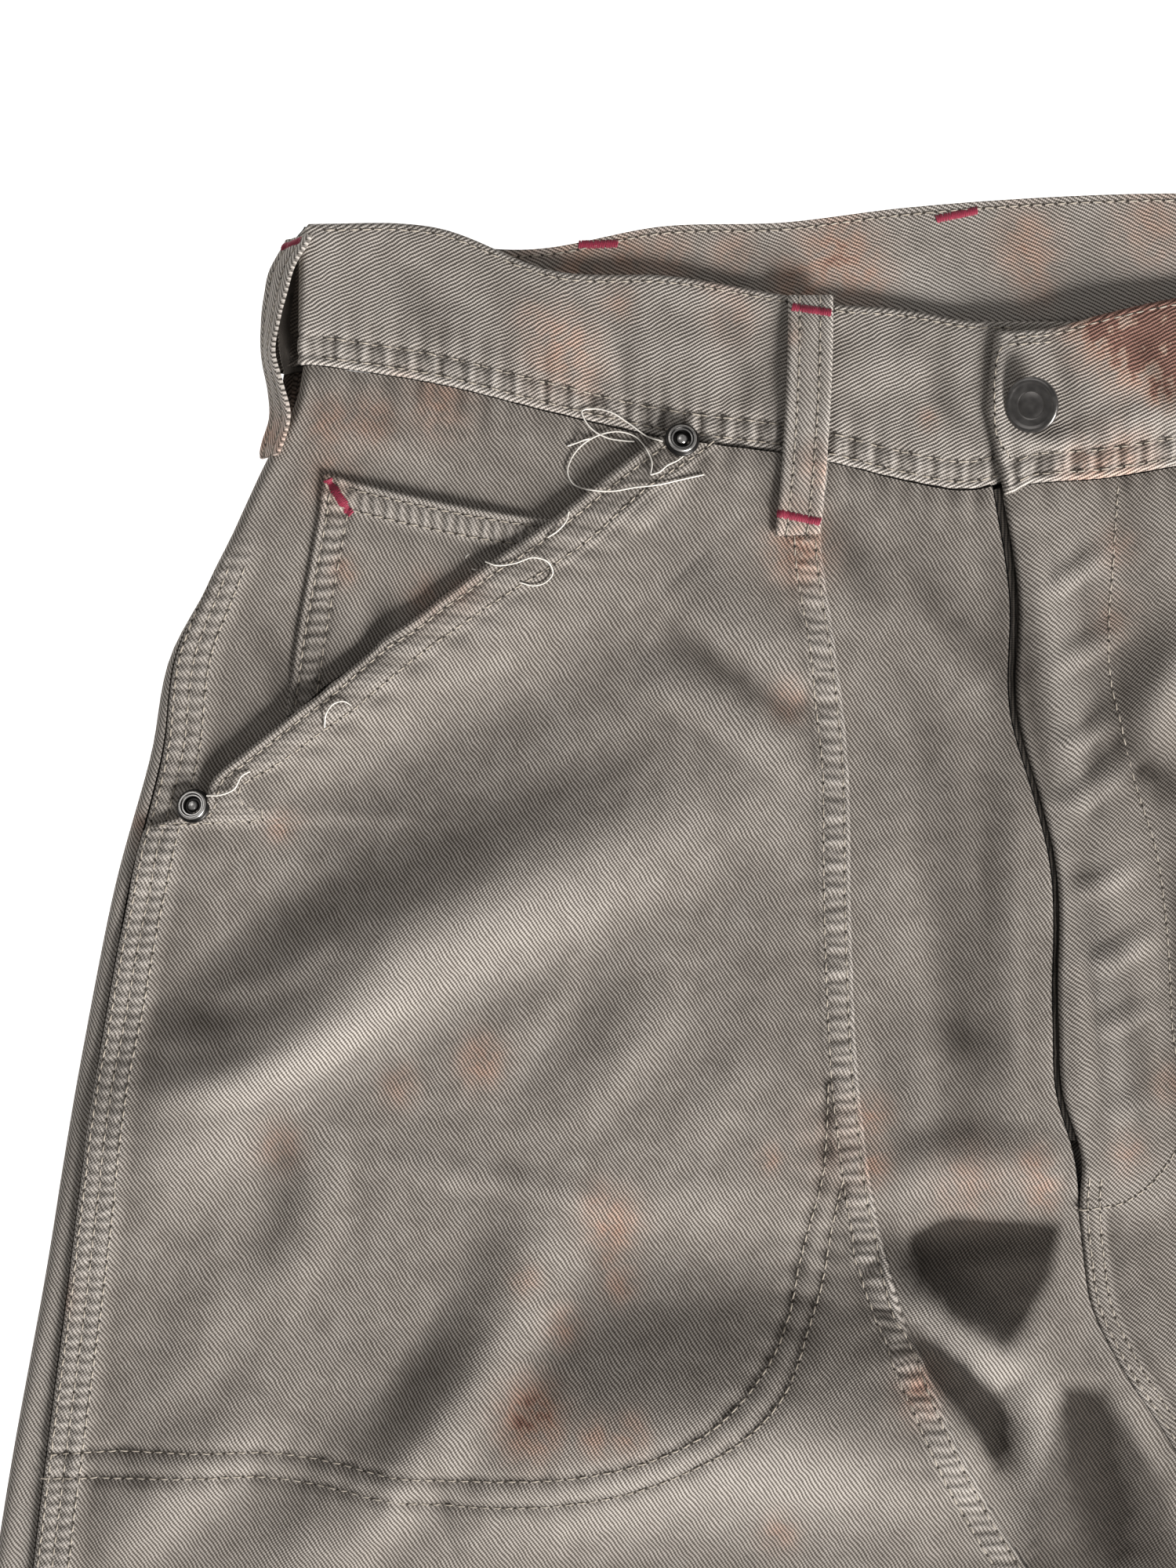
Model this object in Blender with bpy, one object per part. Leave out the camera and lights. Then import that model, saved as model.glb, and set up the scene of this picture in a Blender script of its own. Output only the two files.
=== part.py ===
# Carpenter pants with doubled fronts, laid flat on their back with the front up.
# Sizes are in millimetres until a mesh is made, and in metres from there on.
# +X is the wearer's left, +Y runs towards the waist, +Z is up, and the underside lies on z = 0.
# Right and left are the wearer's. A leg's rows run down it, and its columns from the side in.

import math
from collections import namedtuple

import bpy
import numpy as np
from mathutils import Matrix, Vector
from mathutils.bvhtree import BVHTree

MM = 0.001
ORIGIN_Y = -524.0      # middle of the whole length, which becomes y = 0
SEAM_GAP = 0.3         # between two pieces that are sewn together
SIDE_GAP = 0.5         # the same where the side seam rides over the turn at the outline
LAY_GAP = 0.35         # between a piece and what lies on it
CLOTH = 1.2            # one layer of the canvas
BAND_CLOTH = 2.4       # the waistband is two layers
LOOP_CLOTH = 1.4
LOOP_WIDE = 12.7
LOOP_LONG = 68.0
LEG_LIE = 5.2          # height of the front's face where the legs lie flat
WAIST_LIE = 8.6        # height at the waist, where band, loops and seams lie on each other
BACK_LIFT = 1.75       # the back of the waist rests on its belt loops, this high
BAND_PROUD = 0.6       # the band's face stands this far above the panels
FLY_LIFT = 1.6         # the fly edge passes over the zip tape
TAB_LIFT = 2.75        # the tab passes over the band's other end
EDGE_ROLL = 3.5        # how far in from the outline the cloth turns over
EDGE_ROUND = 6.0       # cloth from the outline to the end of that turn
SHARP_ROLL = 0.6       # the same turn above the fork, where there is no inner outline
INSEAM_IN = 8.0        # the inseam lies this far inside the inner outline, on the front
RISE_STRIP = 6.0       # width of the last strip of the backs beside their rise seam
FORK_Y = -345.0
DOUBLE_END_Y = -690.0  # the doubled fronts end on the shins
HEM_TILT = 0.118       # the hems lie square to the legs, which spread
ZIP_WIDE = 12.0
ZIP_END_Y = -238.0
ZIP_DROP = 1.2         # the tape starts this far below the panels' top edge
WATCH_CLOTH = 1.0

# Soft steps run over a length of this many millimetres, from where they start
Step = namedtuple("Step", "start over")
WAIST_STEP = Step(-135.0, 90.0)       # up the body, the front's face rises to the waist's height
LOOPS_STEP = Step(-96.0, 44.0)        # up the body, the back rises onto its loops
HEM_STEP = Step(400.0, 350.0)         # down the leg, the rows take the hem's slant
INSEAM_STEP = Step(-FORK_Y, 60.0)     # down the leg, the inner outline becomes a round turn
FLY_SIDE_STEP = Step(14.0, 24.0)      # away from the fly's edge
FLY_END_STEP = Step(ZIP_END_Y - 26.0, 20.0)
TAB_STEP = Step(16.0, 34.0)           # away from the tab, over the band's other end

BAND_LEVEL_Y = -20.0   # the band's face is level above this
BAND_SIDE_Y = 20.0     # the outline is straight here, beside the band
BAND_SIDE_HIGH = 40.0
BAND_COLUMNS = 18
UNDER_END_X = 12.0     # the end under the tab
RIGHT_SIDE_X, LEFT_SIDE_X = -205.0, 195.0   # where the band starts to turn over the sides
BACK_START_X, BACK_END_X = -207.0, 197.0
TURN_SHARES = (0.95, 0.5, 0, -0.5, -0.95)
TAB_END_X = -19.0
TAB_END_SHIFTS = (4.6, -0.8, 1.8)     # the tab's end slants, from its lower corner up

LOOP_SHARES = (0, 0.07, 0.16, 0.28, 0.4, 0.52, 0.62, 0.72, 0.86, 1)
BACK_LOOP_SHARES = (0, 0.25, 0.5, 0.75, 1)
LOOP_BOW = 1.5         # a loop stands this far off the band, between its two ends
LOOP_BOW_SHARE = 0.64  # the share of its length over which it bows
LOOP_OVER = 1.0        # it starts this far above the band's edge
BACK_LOOP_SHORT = 4.0
LOOP_FEEL = 3.0        # what a loop lies on is felt for in steps of this size
LOOP_INSET = 2.6
RIVET_SIDES, RIVET_FEEL = 14, 3.3
BUTTON_SIDES, BUTTON_FEEL = 24, 7.0
WATCH_ROWS, WATCH_COLUMNS = 8, 11
CUT_LOW, CUT_HIGH = -5.0, 60.0        # heights that a cutter runs between
CUT_UP, CUT_OUT, CUT_IN = 60.0, 420.0, 300.0
RAY_START = 100.0      # height above everything

Outline = namedtuple("Outline", "y right left seam_in")
OUTLINE = (
    Outline(26, -214, 204, -2.0),
    Outline(-24, -214, 204, -2.0),
    Outline(-44, -223.8, 213.2, -1.5),
    Outline(-76, -238.9, 230, 1.0),
    Outline(-96, -249.8, 241, 4.0),
    Outline(-124, -255.6, 248, 6.0),
    Outline(-156, -264.4, 258, 7.0),
    Outline(-211, -275.6, 273, 8.0),
    Outline(-278, -286.7, 288, 10.0),
    Outline(-333, -296.7, 304, 13.0),
    Outline(-450, -311, 320, 15.0),
    Outline(-600, -322, 326, 14.0),
    Outline(-800, -330, 331, 14.0),
    Outline(-1070, -335, 335, 14.0),
)

Inner = namedtuple("Inner", "y right left")
INNER = (
    Inner(-345, 46, 52),
    Inner(-380, 36, 54),
    Inner(-430, 20, 57),
    Inner(-550, -12, 63),
    Inner(-760, -50, 76),
    Inner(-1070, -87, 87),
)

# The left front's edge along the fly and the rise, and how far short of it the right front ends.
Rise = namedtuple("Rise", "y edge short_by")
RISE = (
    Rise(-47, -14.4, 4.5),
    Rise(-79, -9.2, 4.5),
    Rise(-115, -8.8, 3.6),
    Rise(-137, -2.6, 3.2),
    Rise(-152, 1.2, 3.0),
    Rise(-200, 2.7, 3.0),
    Rise(-221, 3.8, 3.2),
    Rise(-240, 9.2, 3.6),
    Rise(-252, 8.8, SEAM_GAP),
    Rise(-267, 10.0, SEAM_GAP),
    Rise(-282, 12.4, SEAM_GAP),
    Rise(-298, 20.0, SEAM_GAP),
    Rise(-318, 33.0, SEAM_GAP),
    Rise(-345, 49.0, SEAM_GAP),
)

BackRise = namedtuple("BackRise", "y edge")
BACK_RISE = (
    BackRise(0, 8.0),
    BackRise(-120, 10.0),
    BackRise(-220, 19.0),
    BackRise(-300, 37.0),
    BackRise(-345, 49.0),
)

Band = namedtuple("Band", "x low high")
RIGHT_BAND = (
    Band(-209, -14.4, 25.6),
    Band(-173, -20.0, 24.2),
    Band(-142, -27.8, 12.4),
    Band(-107, -35.6, 10.6),
    Band(-76, -39.6, 5.4),
    Band(-60, -42.6, 2.6),
    Band(-42, -47.1, 1.4),
    Band(-22, -49.8, -2.0),
    Band(-10, -47.0, -2.1),
    Band(12, -45.5, -2.2),
)
LEFT_BAND = (
    Band(-20, -51.4, -5.6),
    Band(-14.4, -51.2, -5.5),
    Band(-6.4, -48.5, -5.0),
    Band(0, -47.8, -4.4),
    Band(12, -47.0, -1.2),
    Band(36, -43.1, 4.4),
    Band(70, -36.0, 8.5),
    Band(110, -28.0, 14.0),
    Band(150, -20.0, 21.0),
    Band(199, -14.4, 25.6),
)
BACK_BAND = (
    Band(-209, -14.4, 25.6),
    Band(-180, -17.0, 21.5),
    Band(-149, -19.0, 18.9),
    Band(-109, -17.0, 25.6),
    Band(-76, -15.0, 26.6),
    Band(-42, -12.3, 30.7),
    Band(-9, -9.7, 33.3),
    Band(36, -8.1, 34.9),
    Band(80, -9.5, 33.5),
    Band(125, -13.0, 29.0),
    Band(165, -16.0, 25.0),
    Band(199, -14.4, 25.6),
)

# The pocket's opening runs from the band to the side seam. The other curve is the doubled
# front's edge towards the fly.
Point = namedtuple("Point", "x y")
RIGHT_OPENING = (
    Point(-104, -30),
    Point(-117.8, -40),
    Point(-142, -58.9),
    Point(-164.4, -74.4),
    Point(-186.7, -91),
    Point(-208.9, -108.9),
    Point(-224.4, -121),
    Point(-236.7, -131),
    Point(-246, -142.5),
    Point(-275, -150),
)
RIGHT_DOUBLE_EDGE = (
    Point(-63.5, 0),
    Point(-63.3, -44.4),
    Point(-65.1, -64.4),
    Point(-61.8, -88.9),
    Point(-57.6, -122),
    Point(-56.2, -177.8),
    Point(-53.8, -222),
    Point(-46.7, -266.6),
    Point(-31, -311),
    Point(-6.2, -355.6),
    Point(14, -382),
    Point(45, -405),
)
LEFT_DOUBLE_EDGE = (
    Point(53, 0),
    Point(53, -40),
    Point(54, -120),
    Point(57, -190),
    Point(62, -260),
    Point(67, -320),
    Point(62, -372),
    Point(40, -405),
)
MIRROR_X = -10.0       # the left hip mirrors the right one about half of this
WATCH_POCKET = (
    Point(-204.9, -45),
    Point(-144, -57),
    Point(-151, -64.5),
    Point(-164.8, -74.2),
    Point(-187.2, -90.8),
    Point(-209.2, -108.6),
    Point(-216, -113.5),
    Point(-213.3, -88.9),
    Point(-210, -71),
    Point(-207, -55.6),
)

# Each fold is a soft ridge from its start, through its middle, to its end.
Fold = namedtuple("Fold", "x0 y0 xm ym x1 y1 wide high")
FOLDS = (
    # Right thigh, as the photo shows
    Fold(-268, -262, -196, -182, -84, -132, 20, 5.5),
    Fold(-230, -250, -160, -180, -70, -165, 46, 3.2),
    Fold(-222, -362, -167, -305, -138, -245, 20, 5.0),
    Fold(-158, -326, -88, -311, -16, -315, 34, 8.0),
    Fold(-272, -352, -246, -330, -222, -306, 18, 3.0),
    Fold(-42, -268, -26, -286, -6, -308, 18, 4.5),
    Fold(-104, -80, -88, -96, -66, -112, 16, 3.0),
    # Left thigh
    Fold(262, -250, 190, -176, 92, -128, 22, 5.5),
    Fold(216, -350, 160, -300, 128, -236, 22, 5.0),
    Fold(150, -330, 92, -318, 40, -300, 32, 6.5),
    Fold(22, -128, 34, -104, 46, -88, 16, 3.0),
    Fold(64, -170, 70, -215, 60, -262, 20, 3.5),
    # Below the fork, down to the hems
    Fold(-296, -452, -190, -424, -60, -404, 26, 5.0),
    Fold(-300, -560, -214, -590, -96, -560, 30, 4.5),
    Fold(-70, -640, -150, -664, -262, -640, 28, 4.0),
    Fold(-308, -800, -220, -770, -112, -792, 28, 3.5),
    Fold(-120, -900, -206, -930, -300, -902, 26, 3.0),
    Fold(300, -440, 200, -410, 96, -426, 28, 5.0),
    Fold(84, -540, 180, -576, 292, -556, 30, 4.5),
    Fold(300, -670, 206, -644, 110, -664, 26, 4.0),
    Fold(110, -812, 214, -780, 306, -806, 28, 3.5),
    Fold(302, -948, 210, -926, 122, -950, 26, 3.0),
)

Loop = namedtuple("Loop", "name x_top x_low")
FRONT_LOOPS = (
    Loop("belt_loop_front_right", -68.2, -72.0),
    Loop("belt_loop_front_left", 58.5, 62.0),
)
BACK_LOOPS = (
    Loop("belt_loop_back_right", -129.0, -131.0),
    Loop("belt_loop_back_centre", -25.6, -24.0),
    Loop("belt_loop_back_left", 84.0, 86.0),
)
# The side loops stand on edge and bow outwards. A section has its lower and its upper edge.
SideSection = namedtuple("SideSection", "y low_x low_z high_x high_z")
SIDE_LOOP = (
    SideSection(22, -218.9, 2.4, -211.2, 12.4),
    SideSection(14, -221.6, 1.6, -215.0, 12.4),
    SideSection(4, -223.2, 1.0, -218.4, 12.6),
    SideSection(-7, -224.0, 0.6, -220.4, 12.8),
    SideSection(-17, -224.0, 0.6, -220.4, 12.8),
    SideSection(-27, -223.8, 0.6, -220.2, 12.6),
    SideSection(-34, -225.2, 0.6, -219.8, 12.0),
    SideSection(-40, -226.4, 0.6, -220.0, 11.6),
)

Rivet = namedtuple("Rivet", "name x y")
RIVETS = (
    Rivet("rivet_right_upper", -104.6, -36.2),
    Rivet("rivet_right_lower", -242.9, -139.6),
    Rivet("rivet_left_upper", 94.6, -36.2),
    Rivet("rivet_left_lower", 235.0, -139.6),
)
# Turned profiles, as radius and height, from the bottom of the axis round to its top
RIVET_PROFILE = (
    (0, 0), (4.6, 0), (4.6, 0.8), (3.9, 1.4), (3.0, 1.3), (2.5, 0.8), (1.7, 1.5), (0, 2.2),
)
BUTTON_PROFILE = (
    (0, 0), (3.4, 0), (3.0, 1.6), (7.6, 1.9), (8.5, 2.7), (8.3, 3.6), (7.0, 4.1), (0, 4.2),
)
BUTTON_X, BUTTON_Y = -7.8, -27.3
BUTTON_TILT = math.radians(30)
BUTTON_FACES = math.radians(20)   # it leans this far towards the waist from the wearer's left

SEAM_LEVEL = -38.0     # the level that stands for the band's curved seam in the rows below
SEAM_FADES = -230.0    # below this level the rows are straight
ROWS = [SEAM_LEVEL - 19.0 * i for i in range(16)] + [FORK_Y, -368.0, -400.0, -440.0]
ROWS += [-490.0 - 50.0 * i for i in range(5)] + [-740.0, -790.0, -840.0, -890.0, -940.0]
ROWS += [-990.0, -1034.0, -1070.0]
FRONT_SHARES = [0, 0.02, 0.055] + [0.11 + 0.079 * i for i in range(10)] + [0.9, 0.955, 0.985, 1]


def curve(rows, key, value):
    """A smooth curve through a table's rows, as a function of the column named key."""
    ordered = sorted(rows, key=lambda row: getattr(row, key))
    place = np.array([getattr(row, key) for row in ordered], float)
    height = np.array([getattr(row, value) for row in ordered], float)
    slope = np.gradient(height, place)

    def at(where):
        where = np.clip(where, place[0], place[-1])
        i = np.clip(np.searchsorted(place, where) - 1, 0, len(place) - 2)
        span = place[i + 1] - place[i]
        t = (where - place[i]) / span
        start = height[i] * (1 + 2 * t) * (1 - t) ** 2 + slope[i] * span * t * (1 - t) ** 2
        end = height[i + 1] * t * t * (3 - 2 * t) - slope[i + 1] * span * t * t * (1 - t)
        return start + end

    return at


def ease(t):
    """0 below 0, 1 above 1, and a soft step between."""
    t = np.clip(t, 0, 1)
    return t * t * (3 - 2 * t)


def step(t, rise):
    """The soft step of one named pair of numbers."""
    return float(ease((t - rise.start) / rise.over))


def fold_height(fold, x, y, steps=8):
    """Height of one soft ridge: it follows a bent line and tapers to its ends."""
    bend_x = 2 * fold.xm - (fold.x0 + fold.x1) / 2
    bend_y = 2 * fold.ym - (fold.y0 + fold.y1) / 2
    t = np.linspace(0, 1, steps + 1)
    line_x = (1 - t) ** 2 * fold.x0 + 2 * t * (1 - t) * bend_x + t * t * fold.x1
    line_y = (1 - t) ** 2 * fold.y0 + 2 * t * (1 - t) * bend_y + t * t * fold.y1
    nearest = 1e9
    along = 0.0
    for i in range(steps):
        dx, dy = line_x[i + 1] - line_x[i], line_y[i + 1] - line_y[i]
        share = ((x - line_x[i]) * dx + (y - line_y[i]) * dy) / (dx * dx + dy * dy)
        share = min(max(share, 0.0), 1.0)
        away = math.hypot(x - line_x[i] - share * dx, y - line_y[i] - share * dy)
        if away < nearest:
            nearest, along = away, (i + share) / steps
    if nearest >= fold.wide:
        return 0.0
    taper = math.sin(math.pi * min(max(along, 0.02), 0.98)) ** 0.6
    return fold.high * taper * math.cos(math.pi * nearest / fold.wide / 2) ** 2


def top_height(x, y):
    """Height of the front panels' face."""
    height = LEG_LIE + (WAIST_LIE - LEG_LIE) * step(y, WAIST_STEP)
    return height + sum(fold_height(fold, x, y) for fold in FOLDS)


def under_height(y):
    """Height of the back's underside: flat on the floor, but for the waist on its loops."""
    return BACK_LIFT * step(y, LOOPS_STEP)


right_low, right_high = curve(RIGHT_BAND, "x", "low"), curve(RIGHT_BAND, "x", "high")
left_low, left_high = curve(LEFT_BAND, "x", "low"), curve(LEFT_BAND, "x", "high")
back_low, back_high = curve(BACK_BAND, "x", "low"), curve(BACK_BAND, "x", "high")
rise_edge, rise_short = curve(RISE, "y", "edge"), curve(RISE, "y", "short_by")
back_rise = curve(BACK_RISE, "y", "edge")
seam_in = curve(OUTLINE, "y", "seam_in")

# in_sign points from the outline towards the other leg.
Leg = namedtuple("Leg", "side in_sign outer inner front_low")
RIGHT = Leg("right", 1, curve(OUTLINE, "y", "right"), curve(INNER, "y", "right"), right_low)
LEFT = Leg("left", -1, curve(OUTLINE, "y", "left"), curve(INNER, "y", "left"), left_low)


class Section:
    """One row across a leg: the turn at its outline, the top, the underside and the inner turn."""

    def __init__(self, leg, level, low):
        self.leg, self.level, self.low = leg, level, low
        self.fade = float(np.clip((level - SEAM_FADES) / (SEAM_LEVEL - SEAM_FADES), 0, 1)) ** 1.6
        self.tilt = HEM_TILT * leg.in_sign * step(-level, HEM_STEP)
        self.middle = (leg.outer(level) + leg.inner(level)) / 2
        self.out_x = self.settle(leg.outer)
        self.in_x = self.settle(leg.inner)
        self.in_roll = max(EDGE_ROLL * step(-level, INSEAM_STEP), SHARP_ROLL)
        self.in_round = EDGE_ROUND * self.in_roll / EDGE_ROLL

    def y(self, x):
        return (
            self.level
            + (float(self.low(x)) - SEAM_LEVEL) * self.fade
            - self.tilt * (x - self.middle)
            - SEAM_GAP
        )

    def settle(self, edge):
        """The x where this row meets an edge that is given by its y."""
        y = self.level
        for _ in range(6):
            x = float(edge(y))
            y = self.y(x)
        return x

    def turn(self, edge_x, toward, roll, share):
        """A point on the round turn at an edge: share 1 is its top end and -1 its lower end."""
        angle = share * math.pi / 2
        x = edge_x + toward * roll * (1 - math.cos(angle))
        y = self.y(x)
        low, high = under_height(y), top_height(x, y)
        return (x, y, low + (high - low) * (1 + math.sin(angle)) / 2)

    def outer(self, cloth_in):
        """A point by its distance from the outline, measured along the cloth, on the front."""
        if cloth_in >= EDGE_ROUND:
            return self.top(self.out_x + self.leg.in_sign * (EDGE_ROLL + cloth_in - EDGE_ROUND))
        return self.turn(self.out_x, self.leg.in_sign, EDGE_ROLL, cloth_in / EDGE_ROUND)

    def inner(self, cloth_in):
        """The same, from the inner outline."""
        if cloth_in >= self.in_round:
            return self.top(self.in_x - self.leg.in_sign * (self.in_roll + cloth_in - self.in_round))
        return self.turn(self.in_x, -self.leg.in_sign, self.in_roll, cloth_in / self.in_round)

    def top(self, x):
        y = self.y(x)
        return (x, y, top_height(x, y))

    def under(self, x):
        y = self.y(x)
        return (x, y, under_height(y))

    def seam(self):
        """Where the side seam lies, along the cloth from the outline."""
        return float(seam_in(self.y(self.out_x)))

    def front(self, share, edge_x):
        """A point of the front panel, from its side seam (0) to its inner edge (1)."""
        start = self.seam() + SIDE_GAP / 2
        across = abs(self.in_x - self.out_x) - EDGE_ROLL + EDGE_ROUND
        if edge_x is not None:
            end = abs(edge_x - self.out_x) - EDGE_ROLL + EDGE_ROUND
            return self.outer(start + share * (end - start))
        end = across - self.in_roll + self.in_round - INSEAM_IN - SEAM_GAP / 2
        place = start + share * (end - start)
        left_over = across - self.in_roll + self.in_round - place
        if left_over < self.in_round:
            return self.inner(left_over)
        return self.outer(place)


def front_face(leg):
    """The front panel's outer face as a grid, a list of rows."""
    grid = []
    for level in ROWS:
        section = Section(leg, level, leg.front_low)
        edge_x = None
        if level >= FORK_Y:
            short = leg is RIGHT
            edge_x = section.settle(
                lambda y: rise_edge(y) - (rise_short(y) if short else 0.0)
            )
        row = [section.front(share, edge_x) for share in FRONT_SHARES]
        if leg is LEFT and edge_x is not None:
            row = [lift_fly(point, edge_x) for point in row]
        grid.append(row)
    return np.array(grid)


def lift_fly(point, edge_x):
    """Raises the left front where it passes over the zip tape."""
    x, y, z = point
    across = 1 - step(abs(x - edge_x), FLY_SIDE_STEP)
    return (x, y, z + FLY_LIFT * across * step(y, FLY_END_STEP))


def back_face(leg):
    """The back panel's outer face: from the side seam, round the outline and across the floor."""
    grid = []
    for level in ROWS:
        section = Section(leg, level, back_low)
        start = section.seam() - SIDE_GAP / 2
        row = [section.outer(start + (-EDGE_ROUND - start) * i / 5) for i in range(6)]
        first_x = row[-1][0]
        below_fork = level < FORK_Y
        if below_fork:
            last_x = section.in_x - leg.in_sign * section.in_roll
        else:
            edge_x = section.settle(back_rise)
            last_x = edge_x - leg.in_sign * (RISE_STRIP + SEAM_GAP / 2)
        for share in (0.12, 0.4, 0.7, 1):
            row.append(section.under(first_x + share * (last_x - first_x)))
        for i in (1, 2, 3, 4):
            if below_fork:
                reach = INSEAM_IN - SEAM_GAP / 2 + section.in_round
                row.append(section.inner(-section.in_round + reach * i / 4))
            else:
                row.append(section.under(last_x + leg.in_sign * RISE_STRIP * i / 4))
        grid.append(row)
    return np.array(grid)


def normals(grid, sign):
    """The outward direction at each point of a grid."""
    total = np.zeros_like(grid)
    along = grid[1:, :] - grid[:-1, :]
    across = grid[:, 1:] - grid[:, :-1]
    for i in (0, 1):
        for j in (0, 1):
            down = along[:, j:][:, : grid.shape[1] - 1]
            side = across[i:, :][: grid.shape[0] - 1]
            facet = np.cross(side, down)
            facet /= np.linalg.norm(facet, axis=2, keepdims=True)
            total[i: i + facet.shape[0], j: j + facet.shape[1]] += facet
    return sign * total / np.linalg.norm(total, axis=2, keepdims=True)


def offset(grid, distance, sign, seam=None):
    """The grid moved out. The two columns beside a seam move the same way, so its gap stays."""
    outward = normals(grid, sign)
    if seam is not None:
        both = outward[:, seam] + outward[:, seam + 1]
        both /= np.linalg.norm(both, axis=1, keepdims=True)
        outward[:, seam] = both
        outward[:, seam + 1] = both
    return grid + outward * distance


def new_object(name, points, faces, material):
    """An object from points in millimetres, in the photo's frame."""
    placed = (np.array(points) - np.array([0, ORIGIN_Y, 0])) * MM
    mesh = bpy.data.meshes.new(name)
    mesh.from_pydata([tuple(point) for point in placed], [], faces)
    mesh.update()
    mesh.shade_smooth()
    mesh.set_sharp_from_angle(angle=math.radians(40))
    mesh.materials.append(material)
    piece = bpy.data.objects.new(name, mesh)
    bpy.context.scene.collection.objects.link(piece)
    return piece


def shell(name, outside, inside, sign, material):
    """A closed wall between two grids of the same shape."""
    rows, columns = outside.shape[:2]
    count = rows * columns
    faces = []

    def wall(a, b, c, d):
        faces.extend([(a, b, c), (a, c, d)])

    for i in range(rows - 1):
        for j in range(columns - 1):
            a = i * columns + j
            b, c, d = a + 1, a + columns + 1, a + columns
            wall(a, b, c, d)
            wall(a + count, d + count, c + count, b + count)
    rim = list(range(columns))
    rim += [i * columns + columns - 1 for i in range(1, rows)]
    rim += [(rows - 1) * columns + i for i in range(columns - 2, -1, -1)]
    rim += [i * columns for i in range(rows - 2, 0, -1)]
    for here, there in zip(rim, rim[1:] + rim[:1]):
        wall(there, here, here + count, there + count)
    if sign < 0:
        faces = [face[::-1] for face in faces]
    points = np.concatenate([outside.reshape(-1, 3), inside.reshape(-1, 3)])
    return new_object(name, points, faces, material)


def prism(name, outline):
    """A cutter: an outline in plan, extruded through everything."""
    twice_area = sum(a[0] * b[1] - b[0] * a[1] for a, b in zip(outline, outline[1:] + outline[:1]))
    if twice_area < 0:
        outline = outline[::-1]
    count = len(outline)
    points = [(x, y, CUT_LOW) for x, y in outline] + [(x, y, CUT_HIGH) for x, y in outline]
    faces = [tuple(range(count - 1, -1, -1)), tuple(range(count, 2 * count))]
    faces += [(i, (i + 1) % count, (i + 1) % count + count, i + count) for i in range(count)]
    cutter = new_object(name, points, faces, canvas)
    cutter.hide_render = True
    cutter.display_type = "WIRE"
    return cutter


def cut(piece, cutter, operation="DIFFERENCE"):
    modifier = piece.modifiers.new(cutter.name, "BOOLEAN")
    modifier.operation = operation
    modifier.solver = "EXACT"
    modifier.object = cutter


def through(points, key, steps=4):
    """A table's points with smooth ones added between them, in the order of the column key."""
    ordered = sorted(points, key=lambda point: getattr(point, key))
    other = "y" if key == "x" else "x"
    line = curve(ordered, key, other)
    places = [getattr(ordered[0], key)]
    for a, b in zip(ordered, ordered[1:]):
        start, end = getattr(a, key), getattr(b, key)
        places += [start + (end - start) * i / steps for i in range(1, steps + 1)]
    pairs = [(place, float(line(place))) for place in places]
    return pairs if key == "x" else [(x, y) for y, x in pairs]


def mirrored(points):
    return [(MIRROR_X - x, y) for x, y in points]


def rests(x, y, reach=0.0):
    """Height of the highest piece made so far, round a point in plan."""
    highest = 0.0
    for dx in (-reach, 0, reach):
        for dy in (-reach, 0, reach):
            start = Vector((x + dx, y + dy - ORIGIN_Y, RAY_START)) * MM
            for tree in trees:
                hit = tree.ray_cast(start, Vector((0, 0, -1)))[0]
                if hit is not None:
                    highest = max(highest, hit.z / MM)
    return highest


def turned(profile, sides):
    """Points and faces of a closed turned solid about +Z, with its base at the origin."""
    rings = [(r, z) for r, z in profile if r > 0]
    points = [(0.0, 0.0, profile[0][1])]
    for r, z in rings:
        for i in range(sides):
            angle = 2 * math.pi * i / sides
            points.append((r * math.cos(angle), r * math.sin(angle), z))
    points.append((0.0, 0.0, profile[-1][1]))
    faces = []
    for i in range(sides):
        after = (i + 1) % sides
        faces.append((0, 1 + after, 1 + i))
        for k in range(len(rings) - 1):
            a, b = 1 + k * sides, 1 + (k + 1) * sides
            faces.append((a + i, a + after, b + after, b + i))
        last = 1 + (len(rings) - 1) * sides
        faces.append((last + i, last + after, len(points) - 1))
    return np.array(points), faces


def plain_material(name, colour, roughness, metallic=0.0):
    material = bpy.data.materials.new(name)
    material.use_nodes = True
    shader = material.node_tree.nodes["Principled BSDF"]
    shader.inputs["Base Color"].default_value = (*colour, 1)
    shader.inputs["Roughness"].default_value = roughness
    shader.inputs["Metallic"].default_value = metallic
    material.diffuse_color = (*colour, 1)
    return material


for thing in list(bpy.data.objects):
    bpy.data.objects.remove(thing, do_unlink=True)

canvas = plain_material("canvas", (0.30, 0.26, 0.21), 0.9)
doubled = plain_material("doubled_canvas", (0.33, 0.28, 0.23), 0.9)
band_canvas = plain_material("band_canvas", (0.34, 0.30, 0.25), 0.9)
zip_tape = plain_material("zip_tape", (0.05, 0.04, 0.035), 0.85)
gunmetal = plain_material("gunmetal", (0.10, 0.10, 0.11), 0.35, 1.0)

# Fronts and backs
faces_of = {}
backs_of = {}
pieces = []
for leg in (RIGHT, LEFT):
    sign = -leg.in_sign
    face = front_face(leg)
    faces_of[leg.side] = face
    back = back_face(leg)[:, ::-1]
    backs_of[leg.side] = back
    # Both walls take their directions from the whole ring, so they meet squarely at the side seam.
    ring = np.concatenate([back, face], axis=1)
    columns = back.shape[1]
    inside = offset(ring, -CLOTH, sign, columns - 1)
    pieces.append(shell(f"back_panel_{leg.side}", back, inside[:, :columns], sign, canvas))
    pieces.append(shell(f"front_panel_{leg.side}", face, inside[:, columns:], sign, canvas))

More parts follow.
